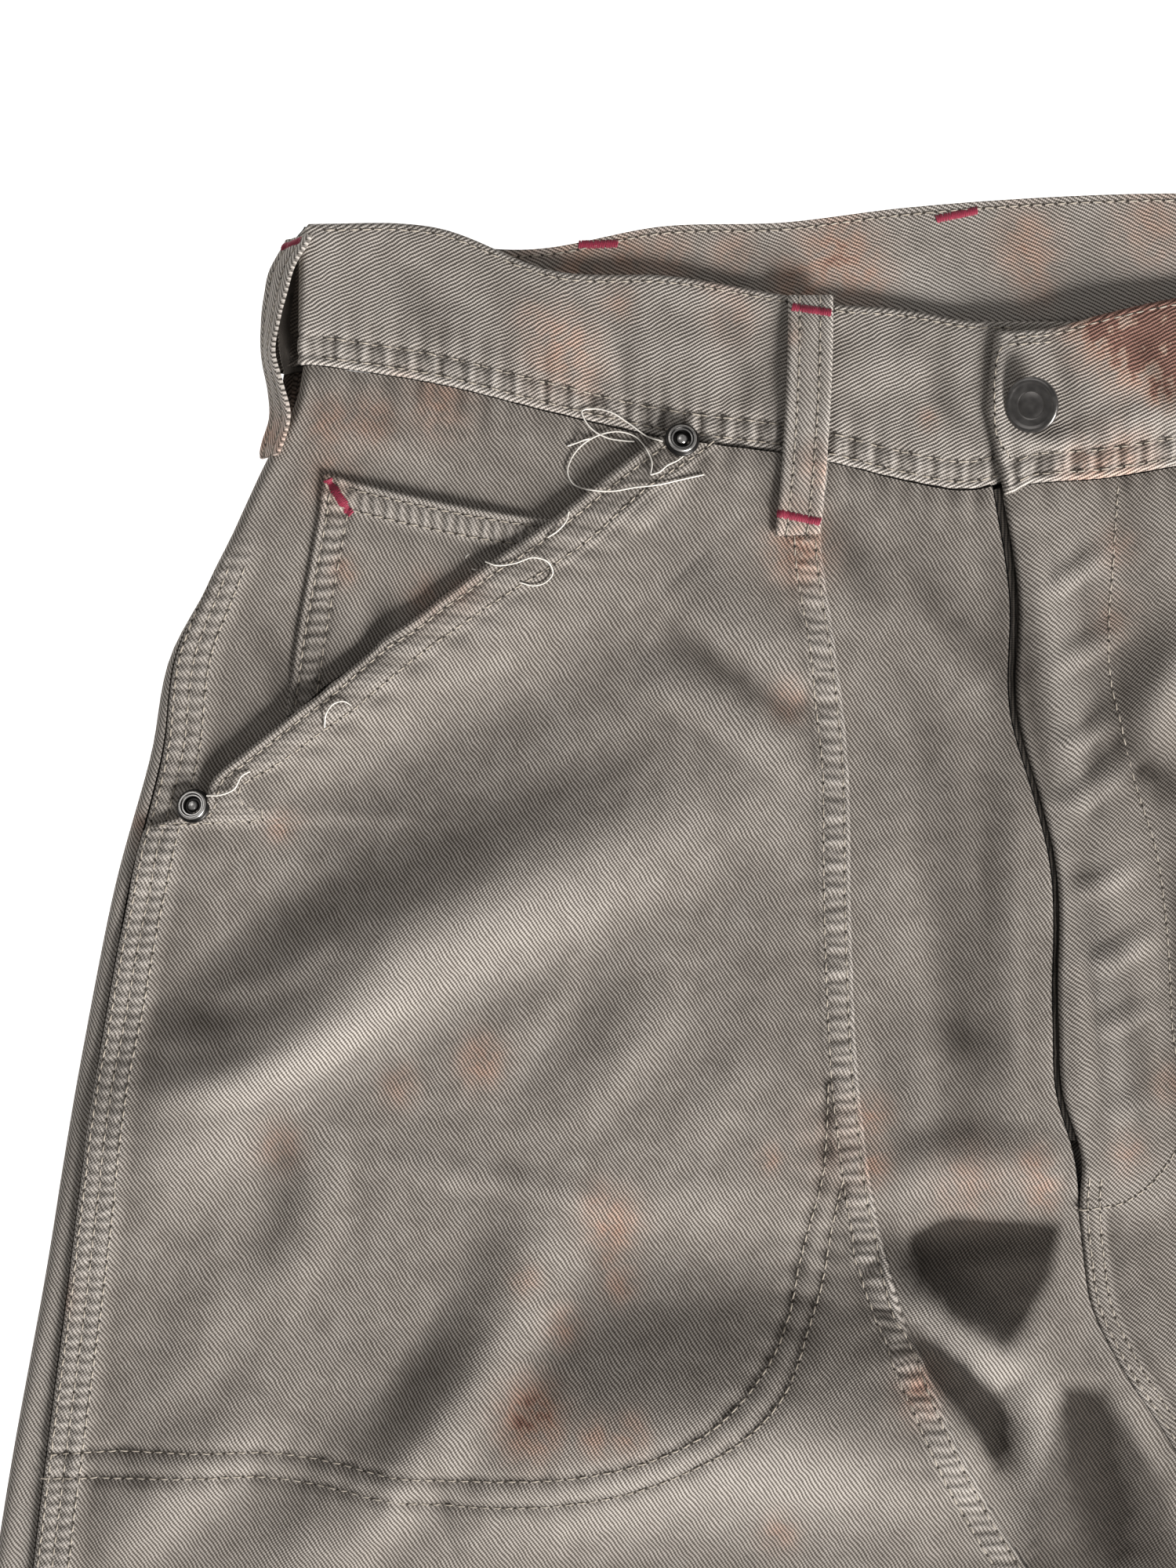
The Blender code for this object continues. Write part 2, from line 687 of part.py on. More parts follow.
# Doubled fronts: the panel's own points moved out, trimmed along the pocket and the fly
side_cut = through(RIGHT_OPENING, "x")
side_cut += [(RIGHT_OPENING[0].x, CUT_UP), (-CUT_OUT, CUT_UP), (-CUT_OUT, RIGHT_OPENING[-1].y)]


def fly_cut(edge, far_x):
    """All that lies between a doubled front's inner edge and the other leg."""
    return through(edge, "y") + [(edge[0].x, CUT_UP), (far_x, CUT_UP), (far_x, edge[-1].y)]


trims = {
    "right": (side_cut, fly_cut(RIGHT_DOUBLE_EDGE, CUT_IN)),
    "left": (mirrored(side_cut), fly_cut(LEFT_DOUBLE_EDGE, -CUT_IN)),
}
for leg in (RIGHT, LEFT):
    sign = -leg.in_sign
    rows = [i for i, level in enumerate(ROWS) if level >= DOUBLE_END_Y]
    face = faces_of[leg.side][rows]
    inside = offset(face, LAY_GAP, sign)
    outside = offset(face, LAY_GAP + CLOTH, sign)
    piece = shell(f"double_front_{leg.side}", outside, inside, sign, doubled)
    for label, outline in zip(("pocket", "fly"), trims[leg.side]):
        cut(piece, prism(f"cut_{label}_{leg.side}", outline))
    pieces.append(piece)

# Watch pocket, on the wearer's right hip only
face = faces_of["right"][:WATCH_ROWS, :WATCH_COLUMNS]
inside = offset(face, LAY_GAP, -1)
outside = offset(face, LAY_GAP + WATCH_CLOTH, -1)
piece = shell("watch_pocket", outside, inside, -1, canvas)
cut(piece, prism("cut_watch_pocket", [tuple(point) for point in WATCH_POCKET]), "INTERSECT")
pieces.append(piece)

# Zip tape, under the fly's edge
tape = []
for level in [ROWS[0] - ZIP_DROP] + ROWS[1:]:
    section = Section(RIGHT, level, right_low)
    edge_x = section.settle(lambda y: rise_edge(y) - rise_short(y)) + SEAM_GAP
    if section.y(edge_x) > ZIP_END_Y:
        tape.append([section.top(edge_x + ZIP_WIDE * i / 3) for i in range(4)])
tape = np.array(tape)
pieces.append(shell("zip_tape", tape, offset(tape, -CLOTH, -1), -1, zip_tape))


# Waistband: one strip from the end under the tab, round the back, to the tab
def band_column(x, low, high, face_of):
    """Three points up the band: its lower edge, its middle and its top."""
    return [
        face_of(x, float(low(x)) + (float(high(x)) - float(low(x))) * share)
        for share in (0, 0.5, 1)
    ]


def band_top(x, y):
    tab = 1 - step(x, TAB_STEP)
    return (x, y, top_height(x, min(y, BAND_LEVEL_Y)) + BAND_PROUD + TAB_LIFT * tab)


def under_end_top(x, y):
    """The same on the right side, which passes under the tab."""
    x, y, z = band_top(x, y)
    return (x, y, z - TAB_LIFT * (1 - step(x, TAB_STEP)))


def back_top(x, y):
    return (x, y, BACK_LIFT)


def band_turn(leg, share):
    """The band's turn over the side: share runs from 1 at the front to -1 at the back."""
    angle = share * math.pi / 2
    column = []
    edge_x = float(leg.outer(BAND_SIDE_Y))
    front_x = edge_x + leg.in_sign * EDGE_ROLL
    x = edge_x + leg.in_sign * EDGE_ROLL * (1 - math.cos(angle))
    high = top_height(front_x, BAND_LEVEL_Y) + BAND_PROUD
    z = BACK_LIFT + (high - BACK_LIFT) * (1 + math.sin(angle)) / 2
    for part in (0, 0.5, 1):
        column.append((x, float(leg.front_low(front_x)) + BAND_SIDE_HIGH * part, z))
    return column


strip = [
    band_column(x, right_low, right_high, under_end_top)
    for x in np.linspace(UNDER_END_X, RIGHT_SIDE_X, BAND_COLUMNS)
]
strip += [band_turn(RIGHT, share) for share in TURN_SHARES]
for x in sorted([*backs_of["right"][0][:, 0], *backs_of["left"][0][:, 0]]):
    if BACK_START_X < x < BACK_END_X:
        strip.append(band_column(x, back_low, back_high, back_top))
strip += [band_turn(LEFT, share) for share in reversed(TURN_SHARES)]
strip += [
    band_column(x, left_low, left_high, band_top)
    for x in np.linspace(LEFT_SIDE_X, TAB_END_X, BAND_COLUMNS)
]
strip = np.array(strip)
strip[-1, :, 0] += TAB_END_SHIFTS
pieces.append(shell("waistband", strip, offset(strip, -BAND_CLOTH, 1), 1, band_canvas))

bpy.context.view_layer.update()
graph = bpy.context.evaluated_depsgraph_get()
trees = [BVHTree.FromObject(piece, graph) for piece in pieces]


# Belt loops on the front, sewn at the band's top edge and below its lower one
def laid_loop(loop, high):
    """A front loop's outer face, two points wide, lying on what is under it."""
    face = []
    half = LOOP_WIDE / 2 - LOOP_INSET
    for share in LOOP_SHARES:
        x = loop.x_top + (loop.x_low - loop.x_top) * share
        y = float(high(loop.x_top)) + LOOP_OVER - LOOP_LONG * share
        bow = LOOP_BOW * math.sin(math.pi * min(share / LOOP_BOW_SHARE, 1.0))
        z = max(rests(x + dx, y, LOOP_FEEL) for dx in (-half, 0, half))
        z += LAY_GAP + bow + LOOP_CLOTH
        face.append([(x - LOOP_WIDE / 2, y, z), (x + LOOP_WIDE / 2, y, z)])
    return np.array(face)


for loop, high in zip(FRONT_LOOPS, (right_high, left_high)):
    face = laid_loop(loop, high)
    pieces.append(shell(loop.name, face, offset(face, -LOOP_CLOTH, -1), -1, band_canvas))

# Belt loops on the back, pressed flat between the band and the floor
for loop in BACK_LOOPS:
    face = []
    for share in BACK_LOOP_SHARES:
        x = loop.x_top + (loop.x_low - loop.x_top) * share
        y = float(back_high(loop.x_top)) - LOOP_OVER - (LOOP_LONG - BACK_LOOP_SHORT) * share
        face.append([(x - LOOP_WIDE / 2, y, 0.0), (x + LOOP_WIDE / 2, y, 0.0)])
    face = np.array(face)
    pieces.append(shell(loop.name, face, offset(face, -LOOP_CLOTH, 1), 1, band_canvas))

# Belt loops at the sides
for side in ("right", "left"):
    face = []
    for row in SIDE_LOOP:
        pair = [(row.low_x, row.y, row.low_z), (row.high_x, row.y, row.high_z)]
        face.append(pair if side == "right" else [(MIRROR_X - x, y, z) for x, y, z in pair])
    face = np.array(face)
    sign = -1 if side == "right" else 1
    inside = offset(face, -LOOP_CLOTH, sign)
    pieces.append(shell(f"belt_loop_side_{side}", face, inside, sign, band_canvas))

# Rivets at the pockets' corners
for rivet in RIVETS:
    points, faces = turned(RIVET_PROFILE, RIVET_SIDES)
    base = rests(rivet.x, rivet.y, RIVET_FEEL) + LAY_GAP
    points = points + np.array([rivet.x, rivet.y, base])
    pieces.append(new_object(rivet.name, points, faces, gunmetal))

# Button: its shank leans in the buttonhole
points, faces = turned(BUTTON_PROFILE, BUTTON_SIDES)
lean = Matrix.Rotation(BUTTON_FACES, 3, "Z") @ Matrix.Rotation(BUTTON_TILT, 3, "Y")
points = points @ np.array(lean).T
base = rests(BUTTON_X, BUTTON_Y, BUTTON_FEEL) + LAY_GAP - points[:, 2].min()
points = points + np.array([BUTTON_X, BUTTON_Y, base])
pieces.append(new_object("button", points, faces, gunmetal))
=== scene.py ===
import math
from collections import namedtuple

import bpy
import numpy as np
from mathutils import Matrix, Vector
from mathutils.bvhtree import BVHTree


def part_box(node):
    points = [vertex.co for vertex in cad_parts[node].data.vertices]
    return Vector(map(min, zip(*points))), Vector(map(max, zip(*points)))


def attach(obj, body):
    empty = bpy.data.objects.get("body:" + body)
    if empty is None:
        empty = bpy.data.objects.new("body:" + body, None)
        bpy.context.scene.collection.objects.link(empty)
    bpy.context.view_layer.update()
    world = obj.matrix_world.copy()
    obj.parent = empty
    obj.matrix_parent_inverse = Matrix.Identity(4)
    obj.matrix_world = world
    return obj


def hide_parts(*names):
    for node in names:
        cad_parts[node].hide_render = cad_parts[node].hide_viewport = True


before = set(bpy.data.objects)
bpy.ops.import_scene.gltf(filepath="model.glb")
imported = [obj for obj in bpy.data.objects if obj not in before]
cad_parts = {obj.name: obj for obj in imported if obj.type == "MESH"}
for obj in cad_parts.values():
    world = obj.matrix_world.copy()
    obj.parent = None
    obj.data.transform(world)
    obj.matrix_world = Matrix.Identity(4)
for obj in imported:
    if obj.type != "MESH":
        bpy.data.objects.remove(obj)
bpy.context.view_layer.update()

# The pants lie face up on a pale table top and are seen from straight above, close to the wearer's
# right hip. A large soft light comes from the lower right, with a weaker one from the upper left.
# Plans and heights are written in millimetres, with the photo's frame moved up by ORIGIN_Y.
MM = 0.001
ORIGIN_Y = -524.0
VIEW_X, VIEW_Y = -131.1, -133.3
VIEW_HIGH = 444.4
LENS = 65.0
SENSOR = 36.0
LAMPS_AIM = Vector((-0.10, 0.33, 0.0))


def put(name, data):
    """A new object in the scene."""
    made = bpy.data.objects.new(name, data)
    bpy.context.scene.collection.objects.link(made)
    return made


camera_data = bpy.data.cameras.new("camera")
camera_data.lens = LENS
camera_data.sensor_width = SENSOR
camera = put("camera", camera_data)
camera.location = (VIEW_X * MM, (VIEW_Y - ORIGIN_Y) * MM, (8 + VIEW_HIGH * LENS / SENSOR) * MM)
bpy.context.scene.camera = camera
bpy.context.scene.view_settings.view_transform = "Standard"

world = bpy.data.worlds.new("room")
world.use_nodes = True
world.node_tree.nodes["Background"].inputs["Color"].default_value = (1.0, 0.985, 0.965, 1)
world.node_tree.nodes["Background"].inputs["Strength"].default_value = 0.15
bpy.context.scene.world = world

Lamp = namedtuple("Lamp", "name x y z size watts")
LAMPS = (
    Lamp("key_light", 2.36, -2.83, 1.86, 1.60, 455.0),
    Lamp("fill_light", -1.10, 1.30, 1.20, 1.20, 7.0),
)
for lamp in LAMPS:
    light = bpy.data.lights.new(lamp.name, "AREA")
    light.shape = "SQUARE"
    light.size = lamp.size
    light.energy = lamp.watts
    light.color = (1.0, 0.975, 0.95)
    lit = put(lamp.name, light)
    lit.location = (lamp.x, lamp.y, lamp.z)
    lit.rotation_euler = (LAMPS_AIM - lit.location).to_track_quat("-Z", "Y").to_euler()


def add(tree, kind, values=(), **settings):
    """A shader or geometry node, with its settings, and its inputs set or linked by number or name."""
    made = tree.nodes.new(kind)
    for key, value in settings.items():
        setattr(made, key, value)
    for key, value in dict(values).items():
        if isinstance(value, bpy.types.NodeSocket):
            tree.links.new(value, made.inputs[key])
        else:
            made.inputs[key].default_value = value
    return made


table_top = bpy.data.materials.new("table_top")
table_top.use_nodes = True
table_tree = table_top.node_tree
table_shader = table_tree.nodes["Principled BSDF"]
table_shader.inputs["Roughness"].default_value = 0.75
table_shader.inputs["Emission Color"].default_value = (1.0, 1.0, 1.0, 1)
table_shader.inputs["Emission Strength"].default_value = 0.95
clouds = add(table_tree, "ShaderNodeTexNoise", {"Scale": 6.0, "Detail": 4.0})
tone = add(table_tree, "ShaderNodeMix", {0: clouds.outputs["Fac"]}, data_type="RGBA")
tone.inputs[6].default_value = (0.90, 0.90, 0.895, 1)
tone.inputs[7].default_value = (0.94, 0.94, 0.935, 1)
table_tree.links.new(tone.outputs[2], table_shader.inputs["Base Color"])
floor_mesh = bpy.data.meshes.new("floor")
floor_mesh.from_pydata(
    [(-4, -4, -0.0004), (4, -4, -0.0004), (4, 4, -0.0004), (-4, 4, -0.0004)], [], [(0, 1, 2, 3)]
)
floor_mesh.materials.append(table_top)
floor = put("floor", floor_mesh)

# Four panels of heavy cotton twill make the legs: two fronts and two backs, felled together at the
# side seams, the inseams and the rise. The cloth is worn soft, faded to a grey taupe and creased.
# Its threads run in fine slanted ribs. Every high fold is painted paler, as wear and painted highlight, and
# the hollows darker, as painted shade.
SEAM_GAP = 0.3
SIDE_GAP = 0.5
LAY_GAP = 0.35
CLOTH = 1.2
LEG_LIE, WAIST_LIE = 5.2, 8.6
BACK_LIFT = 1.75
EDGE_ROLL, EDGE_ROUND = 3.5, 6.0
SHARP_ROLL = 0.6
INSEAM_IN = 8.0
FORK_Y = -345.0
DOUBLE_END_Y = -690.0
HEM_TILT = 0.118
GAP_SHARE = 0.55       # how much of the gap beside the fly the loose cloth leaves open
SEAM_LEVEL, SEAM_FADES = -38.0, -230.0
SHOWN_TO_Y = -392      # the photo shows the legs down to here
FLY_LOW_Y = -252
ROWS_PART_Y = -300     # the rows down the side seam are sewn in two lengths
HEM_Y = -1070.0
SIDE_ROWS = (1.4, 5.6, 10.2)       # the side seam's rows of thread, measured from its edge
HIP_SEWN_Y = -72.0                 # above this the side seam is pressed open and shows no rows
STITCH = 3.4
YARN_PITCH = 0.62
EDGE_PLACES = (0, 0.5, 1.1, 1.8, 2.6, 3.5, 4.6, 5.6, 6.6, 7.6, 8.6, 9.6, 10.8, 12.2)

Step = namedtuple("Step", "start over")
WAIST_STEP, LOOPS_STEP = Step(-135.0, 90.0), Step(-96.0, 44.0)
HEM_STEP, INSEAM_STEP = Step(400.0, 350.0), Step(-FORK_Y, 60.0)
FLY_SIDE_STEP, FLY_END_STEP = Step(14.0, 24.0), Step(-264.0, 20.0)

Outline = namedtuple("Outline", "y right left seam_in")
OUTLINE = [Outline(*row) for row in (
    (26, -214, 204, -2.0), (-24, -214, 204, -2.0), (-44, -223.8, 213.2, -1.5), (-76, -238.9, 230, 1.0),
    (-96, -249.8, 241, 4.0), (-124, -255.6, 248, 6.0), (-156, -264.4, 258, 7.0),
    (-211, -275.6, 273, 8.0), (-278, -286.7, 288, 10.0), (-333, -296.7, 304, 13.0),
    (-450, -311, 320, 15.0), (-600, -322, 326, 14.0), (-800, -330, 331, 14.0), (-1070, -335, 335, 14.0),
)]
Inner = namedtuple("Inner", "y right left")
INNER = [Inner(*row) for row in (
    (-345, 46, 52), (-380, 36, 54), (-430, 20, 57), (-550, -12, 63), (-760, -50, 76), (-1070, -87, 87),
)]
Rise = namedtuple("Rise", "y edge short_by back")
RISE = [Rise(*row) for row in (
    (-47, -14.4, 4.5, 8.6), (-79, -9.2, 4.5, 9.0), (-115, -8.8, 3.6, 9.9), (-137, -2.6, 3.2, 11.0),
    (-152, 1.2, 3.0, 12.2), (-200, 2.7, 3.0, 16.6), (-221, 3.8, 3.2, 19.1), (-240, 9.2, 3.6, 22.4),
    (-252, 8.8, SEAM_GAP, 24.8), (-267, 10.0, SEAM_GAP, 28.2), (-282, 12.4, SEAM_GAP, 32.0),
    (-298, 20.0, SEAM_GAP, 36.4), (-318, 33.0, SEAM_GAP, 41.8), (-345, 49.0, SEAM_GAP, 49.0),
)]
Band = namedtuple("Band", "x low high")
RIGHT_BAND = [Band(*row) for row in (
    (-209, -14.4, 25.6), (-173, -20.0, 24.2), (-142, -27.8, 12.4), (-107, -35.6, 10.6),
    (-76, -39.6, 5.4), (-60, -42.6, 2.6), (-42, -47.1, 1.4), (-22, -49.8, -2.0), (-10, -47.0, -2.1),
    (12, -45.5, -2.2),
)]
LEFT_BAND = [Band(*row) for row in (
    (-20, -51.4, -5.6), (-14.4, -51.2, -5.5), (-6.4, -48.5, -5.0), (0, -47.8, -4.4), (12, -47.0, -1.2),
    (36, -43.1, 4.4), (70, -36.0, 8.5), (110, -28.0, 14.0), (150, -20.0, 21.0), (199, -14.4, 25.6),
)]
BACK_BAND = [Band(*row) for row in (
    (-209, -14.4, 25.6), (-180, -17.0, 21.5), (-149, -19.0, 18.9), (-109, -17.0, 25.6),
    (-76, -15.0, 26.6), (-42, -12.3, 30.7), (-9, -9.7, 33.3), (36, -8.1, 34.9), (80, -9.5, 33.5),
    (125, -13.0, 29.0), (165, -16.0, 25.0), (199, -14.4, 25.6),
)]

# Each crease is a soft ridge, or a trough where it is less than nothing high, from its start,
# through its middle, to its end.
Crease = namedtuple("Crease", "x0 y0 xm ym x1 y1 wide high")
FOLDS = [Crease(*row) for row in (
    (-266, -252, -200, -190, -92, -138, 30, 8.6), (-222, -362, -167, -305, -140, -250, 20, 5.2),
    (-176, -334, -90, -316, -12, -322, 38, 10.5), (-272, -352, -246, -330, -222, -306, 18, 3.0),
    (-50, -268, -30, -283, -8, -303, 12, 6.5), (-44, -274, -26, -284, -6, -298, 20, 3.5),
    (-104, -72, -88, -88, -66, -104, 15, 2.6), (262, -250, 190, -176, 92, -128, 22, 5.5),
    (216, -350, 160, -300, 128, -236, 22, 5.0), (150, -330, 92, -318, 40, -300, 32, 6.5),
    (22, -128, 34, -104, 46, -88, 16, 3.0), (64, -170, 70, -215, 60, -262, 20, 3.5),
    (-296, -452, -190, -424, -60, -404, 26, 5.0), (-300, -560, -214, -590, -96, -560, 30, 4.5),
    (-70, -640, -150, -664, -262, -640, 28, 4.0), (-308, -800, -220, -770, -112, -792, 28, 3.5),
    (-120, -900, -206, -930, -300, -902, 26, 3.0), (300, -440, 200, -410, 96, -426, 28, 5.0),
    (84, -540, 180, -576, 292, -556, 30, 4.5), (300, -670, 206, -644, 110, -664, 26, 4.0),
    (110, -812, 214, -780, 306, -806, 28, 3.5), (302, -948, 210, -926, 122, -950, 26, 3.0),
)]
CREASES = [Crease(*row) for row in (
    # Short wrinkles across the fly's flap
    (-2, -78, 6, -75, 17, -66, 4, 1.4), (-1, -99, 8, -97, 22, -88, 5, 1.3),
    (1, -121, 9, -121, 19, -114, 4, 1.5), (2, -139, 11, -136, 26, -124, 5, 1.7),
    (6, -163, 14, -162, 24, -156, 4, 1.3), (11, -182, 18, -183, 30, -175, 5, 1.7),
    (13, -203, 20, -201, 29, -197, 4, 1.4), (15, -224, 21, -226, 31, -220, 5, 0.7),
    # Right thigh, from the pocket down
    (-214, -158, -190, -130, -112, -92, 24, -3.0), (-118, -102, -94, -112, -70, -130, 11, 2.4),
    (-114, -88, -90, -100, -70, -116, 10, -1.6), (-258, -196, -226, -198, -194, -178, 9, -1.2),
    (-262, -218, -228, -216, -186, -192, 10, 2.0), (-214, -226, -206, -250, -222, -284, 11, 1.3),
    (-226, -220, -220, -246, -236, -276, 10, -1.0), (-108, -184, -118, -208, -142, -232, 12, 1.2),
    (-124, -178, -134, -200, -156, -222, 11, -0.9), (-84, -192, -88, -214, -104, -236, 12, 1.0),
    (-196, -240, -158, -246, -118, -256, 7, 0.8), (-150, -276, -92, -270, -34, -276, 26, -3.6),
    (-206, -352, -184, -312, -162, -280, 12, -1.4), (-262, -330, -240, -290, -226, -262, 16, 1.4),
    (-280, -180, -262, -160, -240, -152, 12, 1.2),
    # Between the doubled front and the fly
    (-52, -176, -46, -160, -48, -132, 12, 0.7), (-64, -52, -56, -70, -46, -84, 13, -1.3),
    (-52, -48, -38, -66, -26, -88, 8, 1.2), (-44, -56, -32, -80, -16, -102, 11, -1.7),
    (-60, -92, -46, -112, -40, -140, 9, 0.9), (-24, -108, -17, -140, -18, -176, 9, -1.3),
    (-34, -150, -28, -196, -26, -236, 12, -1.5), (-40, -204, -38, -226, -30, -246, 9, 0.9),
    (-12, -150, -12, -186, -8, -232, 7, 0.8), (-48, -246, -22, -240, 6, -244, 12, 2.6),
    (-42, -263, -20, -261, 4, -261, 10, -2.0), (-44, -287, -30, -299, -12, -324, 9, -4.6),
    (-6, -282, -4, -312, 0, -358, 11, 3.0), (9, -300, 14, -326, 22, -358, 14, -3.0),
    # Fly and left thigh beside it
    (-8, -60, 1, -110, 6, -150, 7, 1.5), (8, -60, 11, -110, 14, -150, 6, -1.0),
    (24, -124, 32, -106, 40, -92, 9, 1.2), (17, -116, 26, -128, 40, -136, 9, -1.4),
    (4, -176, 8, -196, 10, -232, 6, 1.2), (12, -92, 8, -120, 12, -150, 6, 0.9),
    (14, -140, 17, -180, 18, -236, 9, 1.2), (38, -150, 41, -184, 42, -222, 9, -1.8),
    (26, -306, 36, -326, 48, -350, 12, -1.6), (22, -276, 38, -296, 56, -310, 10, 2.0),
    # Above the pocket and on the watch pocket
    (-128, -62, -112, -52, -104, -40, 7, 1.2), (-196, -72, -190, -90, -204, -104, 8, -0.9),
    (-212, -30, -196, -34, -176, -40, 8, 0.9), (-232, -82, -222, -96, -216, -112, 8, -1.0),
)]
# The deepest hollows are painted dark as shade: two that overlap below the fly, one under the ridge there,
# and one to the left of the rise. Each has an outline that turns clockwise.
Hollow = namedtuple("Hollow", "dark soft corners")
SHADED_HOLLOWS = (
    Hollow(0.95, 5.0, ((-43, -275), (-38, -262), (-28, -257), (3, -259), (1, -273), (-12, -292),
                       (-19, -293), (-28, -284))),
    Hollow(0.45, 14.0, ((-40, -278), (-34, -258), (4, -258), (0, -280), (-14, -296))),
    Hollow(0.95, 4.0, ((-39, -291), (-28, -296), (-13, -308), (-11, -326), (-14, -328), (-35, -300))),
    Hollow(1.05, 7.0, ((-7, -336), (5, -305), (16, -306), (33, -332), (42, -364), (-8, -364))),
)
# Elsewhere a patch follows a line as a crease does. Above nothing it is painted shade, below nothing it is
# painted highlight.
LIGHT_AND_SHADE_PATCHES = [Crease(*row) for row in (
    # The ridge below the fly's hollow, painted pale as highlight, with more painted light and shade round
    # it
    (-46, -278, -29, -289, -12, -305, 7, -1.5), (-10, -290, -5, -320, -4, -352, 9, -0.5),
    (-48, -250, -22, -249, 6, -250, 8, -0.5), (-66, -300, -52, -314, -22, -322, 20, 0.4),
    (-34, -326, -16, -336, 2, -350, 9, -0.3),
    # Between the doubled front and the fly
    (-64, -54, -56, -68, -46, -82, 13, 0.5), (-46, -54, -32, -78, -16, -100, 13, 0.55),
    (-40, -90, -34, -120, -34, -160, 22, 0.42), (-22, -126, -20, -180, -18, -246, 22, 0.6),
    (-15, -58, -10, -100, -5, -142, 12, 0.9), (-44, -196, -30, -204, -8, -212, 11, 0.4),
    (-46, -200, -38, -226, -24, -246, 14, 0.35), (-56, -92, -50, -124, -48, -160, 9, -0.2),
    # Fly and left thigh
    (-2, -84, 7, -120, 12, -160, 13, 0.38), (14, -180, 18, -206, 22, -236, 13, 0.3),
    (18, -112, 28, -126, 42, -138, 12, 0.35), (12, -70, 19, -110, 22, -150, 9, 0.5),
    (32, -150, 40, -186, 42, -226, 12, 0.45), (24, -64, 32, -60, 40, -66, 10, -0.3),
    (-3, -60, 4, -110, 4, -160, 7, -0.9), (5, -158, 17, -200, 20, -248, 7, -0.85),
    (12, -160, 24, -205, 27, -244, 7, 0.5), (50, -170, 46, -200, 44, -230, 9, -0.5),
    # Hip, pocket and thigh
    (-246, -190, -236, -206, -222, -212, 14, 0.35), (-232, -112, -222, -96, -206, -84, 12, 0.3),
    (-150, -92, -116, -90, -80, -104, 26, 0.28), (-114, -60, -96, -78, -72, -94, 14, 0.25),
    (-96, -150, -82, -180, -76, -230, 22, 0.22), (-260, -252, -200, -204, -110, -146, 24, -0.45),
    (-150, -336, -90, -332, -30, -334, 24, -0.5), (-262, -352, -246, -340, -224, -324, 16, -0.45),
    (-60, -160, -74, -140, -100, -130, 26, -0.3),
)]


def curve(rows, key, value):
    """A smooth curve through a table's rows, as a function of the column named key."""
    ordered = sorted(rows, key=lambda row: getattr(row, key))
    place = np.array([getattr(row, key) for row in ordered], float)
    height = np.array([getattr(row, value) for row in ordered], float)
    slope = np.gradient(height, place)

    def at(where):
        where = np.clip(where, place[0], place[-1])
        i = np.clip(np.searchsorted(place, where) - 1, 0, len(place) - 2)
        span = place[i + 1] - place[i]
        t = (where - place[i]) / span
        start = height[i] * (1 + 2 * t) * (1 - t) ** 2 + slope[i] * span * t * (1 - t) ** 2
        end = height[i + 1] * t * t * (3 - 2 * t) - slope[i + 1] * span * t * t * (1 - t)
        return start + end

    return at


def ease(t):
    """0 below 0, 1 above 1, and a soft step between."""
    t = np.clip(t, 0, 1)
    return t * t * (3 - 2 * t)


def step(t, rise):
    """0 before a step begins and 1 once it is over."""
    return ease((t - rise.start) / rise.over)


def until(away, end, over):
    """1 up to an end, and softly down to 0 past it."""
    return 1 - ease((away - end) / over)


def bell(away, wide):
    """1 at a place, and softly less on both sides of it."""
    return np.exp(-(away / wide) ** 2)


def inside(x, y, corners, soft):
    """1 inside an outline that turns clockwise and never inwards, 0 outside it."""
    depth = np.full(np.shape(x), 1e3)
    for (x0, y0), (x1, y1) in zip(corners, corners[1:] + corners[:1]):
        length = math.hypot(x1 - x0, y1 - y0)
        depth = np.minimum(depth, ((x - x0) * (y1 - y0) - (y - y0) * (x1 - x0)) / length)
    return ease(depth / soft + 0.5)


def near_line(x, y, line):
    """How far each point is from a line of points, and how far along the line that is."""
    nearest = np.full(np.shape(x), 1e9)
    along = np.zeros(np.shape(x))
    gone = 0.0
    for (ax, ay), (bx, by) in zip(line, line[1:]):
        dx, dy = bx - ax, by - ay
        long = math.hypot(dx, dy)
        share = np.clip(((x - ax) * dx + (y - ay) * dy) / long ** 2, 0, 1)
        away = np.hypot(x - ax - share * dx, y - ay - share * dy)
        closer = away < nearest
        nearest = np.where(closer, away, nearest)
        along = np.where(closer, gone + share * long, along)
        gone += long
    return nearest, along, gone


def crease_height(crease, x, y):
    """Height of one soft ridge: it follows a bent line and tapers to its ends."""
    reach = abs(crease.wide)
    bend_x = 2 * crease.xm - (crease.x0 + crease.x1) / 2
    bend_y = 2 * crease.ym - (crease.y0 + crease.y1) / 2
    t = np.linspace(0, 1, 9)
    line_x = (1 - t) ** 2 * crease.x0 + 2 * t * (1 - t) * bend_x + t * t * crease.x1
    line_y = (1 - t) ** 2 * crease.y0 + 2 * t * (1 - t) * bend_y + t * t * crease.y1
    close = (x > line_x.min() - reach) & (x < line_x.max() + reach)
    close &= (y > line_y.min() - reach) & (y < line_y.max() + reach)
    height = np.zeros(np.shape(x))
    if not close.any():
        return height
    away, along, whole = near_line(x[close], y[close], list(zip(line_x, line_y)))
    taper = np.sin(np.pi * np.clip(along / whole, 0.02, 0.98)) ** 0.6
    soft = np.cos(np.pi * np.clip(away / reach, 0, 1) / 2) ** 2
    height[close] = crease.high * taper * soft
    return height


def uneven(x, y, size, seed):
    """Soft random values from -1 to 1, which change over the given size."""
    net = np.random.default_rng(seed).uniform(-1, 1, (61, 61))
    gx, gy = np.asarray(x) / size, np.asarray(y) / size
    ix, iy = np.floor(gx).astype(int), np.floor(gy).astype(int)
    fx, fy = ease(gx - ix), ease(gy - iy)
    rows = [
        net[(ix + i) % 61, iy % 61] * (1 - fy) + net[(ix + i) % 61, (iy + 1) % 61] * fy
        for i in (0, 1)
    ]
    return rows[0] * (1 - fx) + rows[1] * fx


